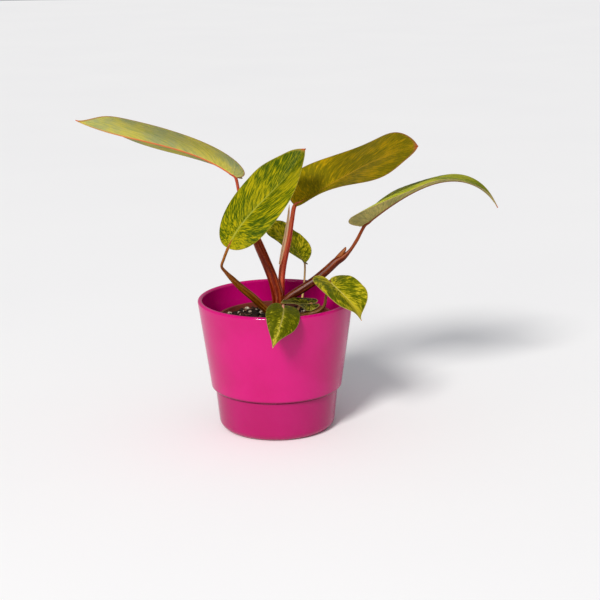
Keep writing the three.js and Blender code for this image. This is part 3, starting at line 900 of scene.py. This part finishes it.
def ball_shape():
    """Points and triangles of a round ball of radius 1."""
    shape = bmesh.new()
    bmesh.ops.create_icosphere(shape, subdivisions=2, radius=1)
    points = np.array([v.co[:] for v in shape.verts])
    faces = [[v.index for v in f.verts] for f in shape.faces]
    shape.free()
    return points, faces


def somewhere(random, reach):
    """A seeded place within reach of the pots' axis."""
    radius = reach * math.sqrt(random.random())
    angle = 2 * math.pi * random.random()
    return radius * math.cos(angle), radius * math.sin(angle)


def scatter(count, sizes, shape, sink, seed, spread=46, fixed=()):
    """Seeded crumbs lying on the mix. sizes is the least and greatest radius, shape the share of it along
    each of a crumb's own axes, sink how deep it lies as a share of its size, and fixed the first places."""
    random = np.random.default_rng(seed)
    ball, faces = ball_shape()
    crumbs = []
    for k in range(count):
        x, y = somewhere(random, spread)
        size = sizes[0] + (sizes[1] - sizes[0]) * random.random() ** 2
        if k < len(fixed):
            x, y, size = fixed[k]
        jitter = 1 + 0.28 * (random.random((len(ball), 1)) - 0.5)
        points = ball * jitter * np.array(shape) * size * (0.8 + 0.4 * random.random(3))
        tilt = Matrix.Rotation(random.random() - 0.5, 3, "X")
        turn = Matrix.Rotation(2 * math.pi * random.random(), 3, "Z")
        points = points @ np.array(turn @ tilt).T
        height = mix_height(x, y)[0] + size * min(shape) * (1 - 2 * sink)
        crumbs.append((points + (x, y, height), faces))
    return join_meshes(crumbs)


def make_crumbs():
    clods = scatter(CLODS, (1.0, 2.8), (1, 0.9, 0.75), 0.35, CLOD_SEED)
    make_piece("mix_clods", *clods, mix_material(), "potting_mix")
    perlite = scatter(PERLITE, (0.7, 2.1), (1, 0.85, 0.8), 0.3, PERLITE_SEED, fixed=SEEN_PERLITE)
    make_piece("perlite_grains", *perlite, perlite_material(), "potting_mix", smooth_faces=False)
    bark = scatter(BARK, (1.6, 4.4), (1, 0.45, 0.28), 0.2, BARK_SEED, spread=44)
    make_piece("bark_bits", *bark, bark_material(), "potting_mix", smooth_faces=False)


# Curves and stalks.
def spline(rows, steps):
    """Points with their radius along the smooth curve that the part's source uses, evenly spaced, with the
    direction of the curve at each."""
    rows = np.asarray(rows, float)
    padded = np.concatenate([[2 * rows[0] - rows[1]], rows, [2 * rows[-1] - rows[-2]]])
    dense = []
    for k in range(len(rows) - 1):
        p0, p1, p2, p3 = padded[k : k + 4]
        d0, d1, d2 = (np.linalg.norm((b - a)[:3]) ** 0.5 for a, b in ((p0, p1), (p1, p2), (p2, p3)))
        m1 = ((p1 - p0) / d0 - (p2 - p0) / (d0 + d1) + (p2 - p1) / d1) * d1
        m2 = ((p2 - p1) / d1 - (p3 - p1) / (d1 + d2) + (p3 - p2) / d2) * d1
        t = np.linspace(0, 1, 40, endpoint=k == len(rows) - 2)[:, None]
        dense.append(p1 + m1 * t + (3 * (p2 - p1) - 2 * m1 - m2) * t**2 + (2 * (p1 - p2) + m1 + m2) * t**3)
    dense = np.concatenate(dense)
    length = np.concatenate([[0], np.cumsum(np.linalg.norm(np.diff(dense[:, :3], axis=0), axis=1))])
    even = np.linspace(0, length[-1], steps + 1)
    points = np.stack([np.interp(even, length, dense[:, k]) for k in range(4)], axis=1)
    along = np.gradient(points[:, :3], axis=0)
    along /= np.linalg.norm(along, axis=1, keepdims=True)
    return points[:, :3], points[:, 3], along, even


def angles_round(sides):
    return np.linspace(0, 2 * math.pi, sides, endpoint=False)


def sweep(centres, along, ref, radii):
    """A closed tube. radii has one row for each centre and one column for each side, from ref round."""
    first = ref - (ref * along).sum(1, keepdims=True) * along
    first /= np.linalg.norm(first, axis=1, keepdims=True)
    second = np.cross(along, first)
    angle = angles_round(radii.shape[1])
    ring = first[:, None] * np.cos(angle)[:, None] + second[:, None] * np.sin(angle)[:, None]
    return capped(centres[:, None] + ring * radii[..., None], radii.shape[1], centres[0], centres[-1])


def thread(rows, steps, sides):
    """A plain round tube through rows of x, y, z and radius."""
    centres, radii, along, _ = spline(rows, steps)
    ref = np.tile([0.01, 0.02, 1.0], (len(centres), 1))
    return sweep(centres, along, ref, np.repeat(radii[:, None], sides, axis=1))


def stalk_material(name, stops, flush_and_highlight, stripes):
    g = Graph(name)
    grain = g.attribute("grain")
    share, groove, _ = g.split(g.attribute("span"))
    upper_side, _, _ = g.split(grain)
    blotch = g.noise(g.scaled(grain, (1.4, 1.4, 90)), 1, 3, 0.6)
    lines = g.noise(g.scaled(grain, (3.6, 3.6, 34)), 1, 3, 0.66)
    flecks = g.noise(g.scaled(grain, (5, 5, 700)), 1, 2, 0.5)
    base = g.ramp(g.add(share, g.times(g.add(blotch, -0.5), 0.35)), stops)
    # The upper side's colour: partly the stalk's own flush, partly a painted highlight.
    base = g.mix(g.step(upper_side, 0.25, 0.95, 0.0, 0.85), base, flush_and_highlight)
    base = g.mix(g.step(lines, 0.56, 0.38, 0.0, stripes), base, g.tinted(base, (176, 130, 108)))
    base = g.mix(g.step(lines, 0.5, 0.64, 0.0, 0.35), base, g.mix(0.5, base, (222, 130, 76), "SCREEN"))
    base = g.mix(g.step(flecks, 0.6, 0.7, 0.0, 0.25), base, (206, 140, 84))
    # Painted shade: the sheath's groove darkened.
    base = g.mix(g.times(groove, 0.7), base, g.tinted(base, (110, 70, 56)))
    return g.finish(
        base,
        g.step(lines, 0.3, 0.7, 0.26, 0.36),
        g.add(lines, g.times(blotch, 0.5)),
        0.12 * MM,
        Specular_IOR_Level=0.14,
        Subsurface_Weight=0.12,
        Subsurface_Radius=(1.0, 0.35, 0.15),
        Subsurface_Scale=2 * MM,
    )


def stalk_attributes(share, length, groove_shade):
    """The material's coordinates: grain round and along the stalk, and span with the share of its length
    and how far the point lies in the groove, which is darkened as painted shade. The last two points are
    the middles of the end caps."""
    rows, sides = groove_shade.shape
    angle = angles_round(sides)
    metres = np.repeat(length * MM, sides)
    grain = np.stack([np.tile(np.cos(angle), rows), np.tile(np.sin(angle), rows), metres], axis=1)
    span = np.stack([np.repeat(share, sides), groove_shade.ravel(), np.zeros_like(metres)], axis=1)
    caps = [(0, 0, 0), (0, 0, length[-1] * MM)]
    ends = [(share[0], 0, 0), (share[-1], 0, 0)]
    return np.concatenate([grain, caps]), np.concatenate([span, ends])


def stalk_rings(leaf, look):
    """Centres, directions, radii and painted groove shade of a petiole, which ends under the first part of
    the midrib.
    """
    frames = midrib_of(leaf)
    rows = list(leaf["path"])
    end_radius = rows[-1][3]
    reach = min(0.12 * leaf["length"], 9)
    for share, shrink in ((0.45, 0.8), (1.0, 0.3)):
        point, _, out = frame_at(frames, np.array([reach * share / leaf["length"]]))
        rows.append((*(point[0] - out[0] * end_radius * 0.35), end_radius * shrink))
    long = leaf["length"] > LONG_LEAF
    centres, radius, along, length = spline(rows, 96 if long else 60)
    share = length / length[-1]

    angle = angles_round(56 if long else 36)
    away = np.minimum(angle, 2 * math.pi - angle)
    sheath = 1 - smooth(look["sheath"] - 0.08, look["sheath"] + 0.04, share)
    groove = np.exp(-((away / 0.42) ** 2))
    lips = np.exp(-(((away - 0.75) / 0.26) ** 2))
    depth = look["groove"] * (0.25 + 0.75 * sheath)
    ridges = 0.012 * np.cos(14 * angle) + 0.008 * np.cos(23 * angle + 1)
    factor = 1 - depth[:, None] * groove + 0.05 * sheath[:, None] * lips + ridges

    lean = np.array(leaf["path"][-1][:2]) - np.array(leaf["path"][0][:2])
    lean = lean / np.linalg.norm(lean)
    side = np.cross(along, [-lean[0], -lean[1], 1.0])
    side /= np.linalg.norm(side, axis=1, keepdims=True)
    up = np.cross(side, along)
    turn = math.radians(look["turn"])
    ref = up * math.cos(turn) + side * math.sin(turn)
    return centres, along, ref, radius[:, None] * factor, share, length, sheath[:, None] * groove


def make_stalk(leaf):
    look = STALKS[leaf["name"]]
    name = leaf["name"] + "_stalk"
    centres, along, ref, radii, share, length, groove_shade = stalk_rings(leaf, look)
    points, faces = sweep(centres, along, ref, radii)
    grain, span = stalk_attributes(share, length, groove_shade)
    if "ear" in leaf:
        steps = 14
        centres, radius, along, length = spline(leaf["ear"], steps)
        ref = np.tile([0, -1.0, 0.3], (steps + 1, 1))
        ear = sweep(centres, along, ref, np.repeat(radius[:, None], 24, axis=1))
        share = np.full(steps + 1, look["sheath"] - 0.1)
        ear_grain, ear_span = stalk_attributes(share, length, np.zeros((steps + 1, 24)))
        points, faces = join_meshes([(points, faces), ear])
        grain = np.concatenate([grain, ear_grain])
        span = np.concatenate([span, ear_span])
    material = stalk_material(name, look["stops"], look["flush_and_highlight"], look["stripes"])
    stands_for = [leaf["name"] + "_petiole"]
    make_piece(name, points, faces, material, look["slot"], stands_for, grain=grain, span=span)


# Leaf blades.
def through(values, s):
    """The value at s of the curve that passes through its values at 0, a half and 1."""
    first, middle, last = values
    return first * (1 - s) * (1 - 2 * s) + middle * 4 * s * (1 - s) + last * s * (2 * s - 1)


def midrib_of(leaf):
    """The midrib's points, and the directions along it, to its left and out of its face."""
    s = np.linspace(0, 1, MIDRIB_STEPS + 1)
    rise, heading, roll = (np.radians(through(leaf[key], s)) for key in ("rise", "heading", "roll"))
    along = np.stack([np.cos(rise) * np.cos(heading), np.cos(rise) * np.sin(heading), np.sin(rise)], axis=1)
    level = np.stack([-np.sin(heading), np.cos(heading), np.zeros_like(s)], axis=1)
    left = level * np.cos(roll)[:, None] + np.cross(along, level) * np.sin(roll)[:, None]
    steps = (along[1:] + along[:-1]) * leaf["length"] / MIDRIB_STEPS / 2
    points = np.concatenate([[(0, 0, 0)], np.cumsum(steps, axis=0)]) + leaf["base"]
    return {"point": points, "along": along, "left": left, "out": np.cross(along, left)}


def frame_at(frames, s):
    """The midrib's point, and its directions to the left and out of the face, at shares s of its length."""
    places = np.linspace(0, 1, MIDRIB_STEPS + 1)
    inner = np.clip(s, 0, 1)
    found = []
    for key in ("point", "left", "out"):
        found.append(np.stack([np.interp(inner, places, frames[key][:, k]) for k in range(3)], axis=-1))
    return found


def bezier(p0, p1, p2, p3, t):
    t = t[..., None]
    p0, p1, p2, p3 = (np.array(p, float) for p in (p0, p1, p2, p3))
    return p0 * (1 - t) ** 3 + 3 * p1 * t * (1 - t) ** 2 + 3 * p2 * t * t * (1 - t) + p3 * t**3


def edge_of(leaf, u):
    """The edge of the flat blade at u, from 0 at the petiole round the lobe to 1 at the tip."""
    lobe, widest, blunt, taper = leaf["outline"]
    back_share = np.clip(u / LOBE_SHARE, 0, 1)
    back = bezier((0, 0), (-1.35 * lobe, 0.18), (-1.1 * lobe - 0.02, 1), (widest, 1), back_share)
    front_share = np.clip((u - LOBE_SHARE) / (1 - LOBE_SHARE), 0, 1)
    front = bezier((widest, 1), (widest + blunt, 1), (1 - taper, 0.75 * taper + 0.05), (1, 0), front_share)
    edge = np.where((u <= LOBE_SHARE)[..., None], back, front)
    return edge[..., 0] * leaf["length"], edge[..., 1] * leaf["width"] / 2


def blade_point(leaf, frames, u, v):
    """Points of the blade's middle surface. u is the lateral vein and v the place on it, from -1 at the
    right edge over the midrib to 1 at the left edge. With them come the distance from the midrib, that of
    the edge, and how far along the leaf the point lies."""
    side = np.where(v < 0, -1, 1)
    t = np.abs(v)
    edge_x, edge_y = edge_of(leaf, u)
    start = leaf["length"] * u**VEIN_SWEEP
    x = start + (edge_x - start) * t**VEIN_SWEEP
    y = edge_y * t
    point, left, out = frame_at(frames, x / leaf["length"])
    point = point + frames["along"][0] * np.minimum(x, 0)[..., None]
    inner = np.clip(x / leaf["length"], 0, 1)
    left_fold, right_fold = (through(fold, inner) for fold in leaf["folds"])
    curl = np.where(side > 0, *leaf["curl"])
    lift = np.radians(np.where(side > 0, left_fold, right_fold) - curl * 2 * y / leaf["width"])
    height, count, phase = leaf["wave"]
    ripple = np.sin(2 * math.pi * count * u + phase + np.where(side > 0, 2, 0))
    wave = height * ripple * t * t * np.sin(math.pi * u)
    round_y = np.sqrt(y * y + 0.36) - 0.6
    point = point + left * (side * y * np.cos(lift))[..., None]
    return point + out * (round_y * np.sin(lift) + wave)[..., None], y, edge_y, x


def blade_relief(leaf, u, v):
    """How far the fine surface stands off the middle surface: sunken veins with the tissue raised between
    them, and soft uneven dents."""
    t = np.abs(v)
    vein = leaf["length"] / VEIN_SPACING * (u - VEIN_LEAN * t)
    veins = 0.5 + 0.5 * np.cos(2 * math.pi * (vein + 0.5 * np.sin(9 * u) + np.where(v > 0, 0.4, 0)))
    fade = smooth(0.0, 0.12, t) * (1 - smooth(0.7, 1, t))
    size = 0.11 if leaf["length"] > LONG_LEAF else 0.09
    dents = np.sin(7 * u + 3 * v + leaf["length"]) * np.sin(11 * u - 4 * v + 1) * t
    return -size * veins * fade + 0.35 * dents * smooth(0, 0.3, t) * np.sin(math.pi * u)


def blade_grid(long):
    """Rows from the petiole to the tip, closer together at both ends, and columns from edge to edge."""
    rows, spans = (190, 25) if long else (110, 20)
    even = np.linspace(0, 1, rows)
    ends = 0.5 - 0.5 * np.cos(math.pi * even)
    u = FIRST_VEIN + (LAST_VEIN - FIRST_VEIN) * (0.45 * even + 0.55 * ends)
    half = np.concatenate([0.955 * (np.arange(spans) / (spans - 1)) ** 1.55, MARGIN_COLUMNS])
    return np.meshgrid(u, np.concatenate([-half[:0:-1], half]), indexing="ij")


def blade_faces(rows, across):
    """Faces of the upper and lower grid of points, and of the rim between them."""
    under = rows * across
    quads = np.array(grid_faces(rows, across))
    sides = [
        np.arange(rows) * across,
        (rows - 1) * across + np.arange(1, across),
        np.arange(rows - 2, -1, -1) * across + across - 1,
        np.arange(across - 2, 0, -1),
    ]
    rim = np.concatenate(sides)
    following = np.roll(rim, -1)
    edge = np.stack([rim, rim + under, following + under, following], axis=1)
    return np.concatenate([quads[:, ::-1], quads + under, edge]).tolist()


def on_both(*values):
    """Values of the grid for the points of the upper face and then the lower one."""
    return np.stack([np.tile(value.ravel(), 2) for value in values], axis=1)


def make_blade(leaf):
    frames = midrib_of(leaf)
    long = leaf["length"] > LONG_LEAF
    u, v = blade_grid(long)
    middle, y, edge_y, x = blade_point(leaf, frames, u, v)
    nudge = 0.0025
    down = blade_point(leaf, frames, u + nudge, v)[0] - blade_point(leaf, frames, u - nudge, v)[0]
    over = blade_point(leaf, frames, u, v + nudge)[0] - blade_point(leaf, frames, u, v - nudge)[0]
    normal = np.cross(down, over)
    normal /= np.linalg.norm(normal, axis=-1, keepdims=True)
    middle = middle + normal * blade_relief(leaf, u, v)[..., None]

    t = np.abs(v)
    thick = MARGIN_THICKNESS + (BLADE_THICKNESS - MARGIN_THICKNESS) * np.sqrt(np.clip(1 - t**8, 0, 1))
    thick = thick * np.where(t == 1, 0.35, 1)
    rib_size = (0.3 + 0.8 * (1 - u) ** 1.3) * (1 if long else 0.55)
    rib_width = (0.45 + 0.65 * (1 - u)) * (1 if long else 0.7)
    keel = rib_size * np.exp(-((y / rib_width) ** 2))
    trough = 0.3 * rib_size * np.exp(-((y / (rib_width * 0.8)) ** 2))
    upper = middle + normal * (thick / 2 - trough)[..., None]
    lower = middle - normal * (thick / 2 + keel)[..., None]
    points = np.concatenate([upper.reshape(-1, 3), lower.reshape(-1, 3)])

    side = np.repeat([[1.0], [-1.0]], u.size, axis=0)
    vein = np.concatenate([on_both(u, v), side], axis=1)
    span = on_both(y * MM, (edge_y - y) * MM, x / leaf["length"])
    name = leaf["name"] + "_face"
    look = FACES[leaf["name"]]
    material = blade_material(name, look, leaf)
    stands_for = [leaf["name"] + "_blade"]
    make_piece(name, points, blade_faces(*u.shape), material, look["slot"], stands_for, vein=vein, span=span)


def upper_colour(g, look, long, streak, patch, zone, from_rib, along):
    """The upper face: streaks from green to yellow, painted light and shade along the leaf, and the midrib's
    line.
    """
    near_rib = g.step(from_rib, 0.0, look["glow_width"], look["glow"], 0.0)
    near_rib = g.times(near_rib, g.step(along, 0.2, 0.9, 0.5, 1.3))
    amount = g.add(g.times(streak, 0.6), g.times(patch, 0.4))
    amount = g.add(amount, g.times(g.add(zone, -0.5), look["zones"]))
    amount = g.add(g.add(amount, near_rib), look["yellow_shift"])
    face = g.ramp(amount, list(zip(STREAK_PLACES, look["streaks"])))
    # Painted light and shade: the upper face brightened or darkened at its base, middle and tip.
    base_shade, middle_shade, tip_shade = look["painted_light"]
    lower_half = g.step(along, 0.0, 0.45, base_shade, middle_shade)
    face = g.tinted(face, g.times(lower_half, g.step(along, 0.45, 1.0, 1.0, tip_shade)))
    rib = g.step(from_rib, 0.4 * MM, (1.1 if long else 0.8) * MM, 1.0, 0.0)
    return g.mix(g.times(rib, g.step(along, 0.35, 0.9, 0.8, 0.1)), face, look["ribs"][0])


def lower_colour(g, look, long, streak, patch, zone, from_rib, along):
    """The lower face: paler flecks, greyer patches, and the raised midrib."""
    flecks = g.add(g.times(streak, 0.55), g.times(zone, 0.45))
    face = g.mix(g.step(flecks, 0.25, 0.75), *look["under"])
    face = g.mix(g.step(patch, 0.6, 0.15, 0.0, 0.75), face, g.tinted(face, (204, 222, 224)))
    rib = g.step(from_rib, (0.7 if long else 0.4) * MM, (1.2 if long else 0.8) * MM, 1.0, 0.0)
    return g.mix(g.times(rib, g.step(along, 0.5, 1.0, 1.0, 0.25)), face, look["ribs"][1])


def blade_material(name, look, leaf):
    g = Graph(name)
    u, v, side = g.split(g.attribute("vein"))
    from_rib, from_edge, along = g.split(g.attribute("span"))
    length = leaf["length"]
    long = length > LONG_LEAF
    seed = float(LEAVES.index(leaf) * 17)
    warp = g.times(g.add(g.noise(g.join(g.times(u, 9), g.times(v, 3), seed), 1, 2), -0.5), 0.03)
    wavy = g.add(g.add(u, warp), g.times(g.math("ABSOLUTE", v), -look["lean"]))
    streak_place = g.join(g.times(wavy, length * 1.15), g.times(v, 5.4 if long else 4.0), seed + 3)
    streak = g.step(g.noise(streak_place, 1, 3, 0.62), 0.24, 0.76)
    patch_place = g.join(g.times(wavy, length * 0.38), g.times(v, 3.2), seed + 8)
    patch = g.step(g.noise(patch_place, 1, 3, 0.62), 0.24, 0.76)
    zone = g.step(g.noise(g.place(), 42, 2), 0.3, 0.7)
    upper = upper_colour(g, look, long, streak, patch, zone, from_rib, along)
    lower = lower_colour(g, look, long, streak, patch, zone, from_rib, along)
    face = g.step(side, -0.2, 0.2)
    base = g.mix(face, lower, upper)
    base = g.mix(g.step(from_edge, 0.15 * MM, 0.6 * MM, 0.8, 0.0), base, look["margin"])
    base = g.mix(g.step(g.add(along, g.times(patch, 0.02)), 0.975, 1.005), base, look["tip"])
    fine = g.noise(g.join(g.times(u, length * 1.4), g.times(v, 5), seed), 1, 2)
    pores = g.noise(g.place(), 2200, 2)
    return g.finish(
        base,
        g.step(face, 0.0, 1.0, 0.6, 0.48),
        g.add(fine, g.times(pores, 0.35)),
        0.16 * MM,
        Specular_IOR_Level=0.05,
        Subsurface_Weight=0.1,
        Subsurface_Radius=(0.8, 1.0, 0.2),
        Subsurface_Scale=MM,
    )


# Crown, roots and new leaf.
def crown_material():
    g = Graph("crown")
    place = g.place()
    rings = g.noise(g.scaled(place, (120, 120, 520)), 1, 4, 0.6)
    fine = g.noise(place, 900, 4, 0.6)
    base = g.ramp(rings, [(0.35, (70, 34, 16)), (0.5, (116, 62, 34)), (0.65, (150, 98, 60))])
    base = g.mix(g.step(fine, 0.55, 0.7, 0.0, 0.6), base, (60, 34, 20))
    return g.finish(base, g.step(rings, 0.3, 0.7, 0.55, 0.8), g.add(rings, g.times(fine, 0.4)), 0.5 * MM)


def dice(seed):
    """Random numbers as the part's source draws them."""
    state = seed
    while True:
        state = (state * 48271) % 2147483647
        yield state / 2147483647


def make_crown():
    x, y, top, bottom, radius = (CROWN[key] for key in ("x", "y", "top", "bottom", "radius"))
    profile = [(radius * share, bottom + up) for share, up in CROWN_FOOT]
    profile += [(radius * share, top - down) for share, down in CROWN_TOP]
    points, faces = turned(profile, 48)
    parts = [(points + (x, y, 0), faces)]
    draw = dice(ROOT_SEED)
    for k in range(ROOT_COUNT):
        angle = (k + 0.6 * next(draw)) / ROOT_COUNT * 2 * math.pi
        reach = ROOT_REACH * (0.6 + 0.3 * next(draw))
        start = bottom + 6 + 16 * next(draw)
        rows = []
        for s in (0, 0.35, 0.7, 1):
            across = x * (1 - s) + reach * s * math.cos(angle + 0.5 * s)
            back = y * (1 - s) + reach * s * math.sin(angle + 0.5 * s)
            rows.append((across, back, start - ROOT_DEPTH * s * s - 4 * s, ROOT_RADIUS * (1 - 0.6 * s)))
        parts.append(thread(rows, 24, 12))
    make_piece("crown_and_roots_fine", *join_meshes(parts), crown_material(), "crown", ["crown_and_roots"])


def make_new_leaf():
    centres, radius, along, length = spline(NEW_LEAF_PATH, 70)
    share = length / length[-1]
    angle = angles_round(36)
    away = np.minimum(angle, 2 * math.pi - angle)
    wrap = 1 - 0.16 * np.exp(-((away / 0.25) ** 2))
    radii = radius[:, None] * wrap * (1 - 0.6 * smooth(0.9, 1, share))[:, None]
    ref = np.tile([-0.3, -1.0, 0.1], (len(centres), 1))
    # Painted shade along the groove where the rolled leaf wraps.
    groove_shade = np.tile(np.exp(-((away / 0.2) ** 2)), (len(share), 1))
    grain, span = stalk_attributes(share, length, groove_shade)
    material = stalk_material("new_leaf_rolled", NEW_LEAF_STOPS, NEW_LEAF_FLUSH_AND_HIGHLIGHT, NEW_LEAF_STRIPES)
    shape = sweep(centres, along, ref, radii)
    make_piece(
        "new_leaf_rolled", *shape, material, "petiole_pink", ["new_leaf_sheath"], grain=grain, span=span
    )


def fibre_material():
    g = Graph("fibres")
    tone = g.noise(g.place(), 700, 2)
    base = g.mix(g.step(tone, 0.35, 0.65), (128, 92, 64), (176, 142, 108))
    return g.finish(base, g.step(tone, 0.3, 0.7, 0.7, 0.9))


def make_fibres():
    """Thin threads of coir and root that lie on the mix."""
    random = np.random.default_rng(FIBRE_SEED)
    parts = []
    for _ in range(FIBRES):
        x, y = somewhere(random, 42)
        heading = 2 * math.pi * random.random()
        rows = []
        for k in range(5):
            free = 0 < k < 4
            lift = 0.3 + 1.2 * random.random() if free else -0.4
            rows.append((x, y, mix_height(x, y)[0] + lift, 0.13 if free else 0.07))
            heading += 1.1 * (random.random() - 0.5)
            x += 2.2 * math.cos(heading)
            y += 2.2 * math.sin(heading)
        parts.append(thread(rows, 16, 6))
    make_piece("coir_fibres", *join_meshes(parts), fibre_material(), "potting_mix")


# Studio.
def make_floor():
    mesh = bpy.data.meshes.new("floor")
    reach = FLOOR_REACH
    corners = [(-reach, -reach, 0), (reach, -reach, 0), (reach, reach, 0), (-reach, reach, 0)]
    mesh.from_pydata(corners, [], [(0, 1, 2, 3)])
    g = Graph("floor")
    base = g.mix(g.noise(g.place(), 3, 2), (243, 243, 244), (247, 247, 247))
    mesh.materials.append(g.finish(base, 0.9, Specular_IOR_Level=0.0))
    floor = bpy.data.objects.new("floor", mesh)
    bpy.context.collection.objects.link(floor)


def make_light(name, kind, place, power, tint, **settings):
    data = bpy.data.lights.new(name, kind)
    data.energy = power
    data.color = tint
    for key, value in settings.items():
        setattr(data, key, value)
    light = bpy.data.objects.new(name, data)
    light.location = place
    light.rotation_mode = "QUATERNION"
    light.rotation_quaternion = (Vector(place) - Vector(LIGHT_AIM)).to_track_quat("Z", "Y")
    bpy.context.collection.objects.link(light)


def make_studio():
    make_floor()
    make_light("sun", "SUN", SUN_PLACE, SUN_STRENGTH, SUN_TINT, angle=math.radians(SUN_ANGLE))
    width, height = SOFTBOX_SIZE
    box = {"shape": "RECTANGLE", "size": width, "size_y": height}
    make_light("softbox", "AREA", SOFTBOX_PLACE, SOFTBOX_POWER, SOFTBOX_TINT, **box)
    world = bpy.data.worlds.new("studio")
    world.use_nodes = True
    background = world.node_tree.nodes["Background"]
    background.inputs["Color"].default_value = (*WORLD_TINT, 1)
    background.inputs["Strength"].default_value = WORLD_STRENGTH
    scene = bpy.context.scene
    scene.world = world
    scene.view_settings.view_transform = "Standard"


def make_camera():
    data = bpy.data.cameras.new("camera")
    data.lens = LENS
    data.sensor_width = SENSOR_WIDTH
    data.clip_start, data.clip_end = CLIP
    camera = bpy.data.objects.new("camera", data)
    bpy.context.collection.objects.link(camera)
    turn = Matrix.Rotation(math.radians(90 - PITCH), 4, "X") @ Matrix.Rotation(math.radians(ROLL), 4, "Z")
    aim = Matrix.Translation([c * MM for c in AIM])
    camera.matrix_world = aim @ turn @ Matrix.Translation((0, 0, DISTANCE * MM))
    bpy.context.scene.camera = camera


make_camera()
make_cover_pot()
make_nursery_pot()
make_mix()
make_crumbs()
make_fibres()
make_crown()
make_new_leaf()
for leaf in LEAVES:
    make_stalk(leaf)
    make_blade(leaf)
make_studio()
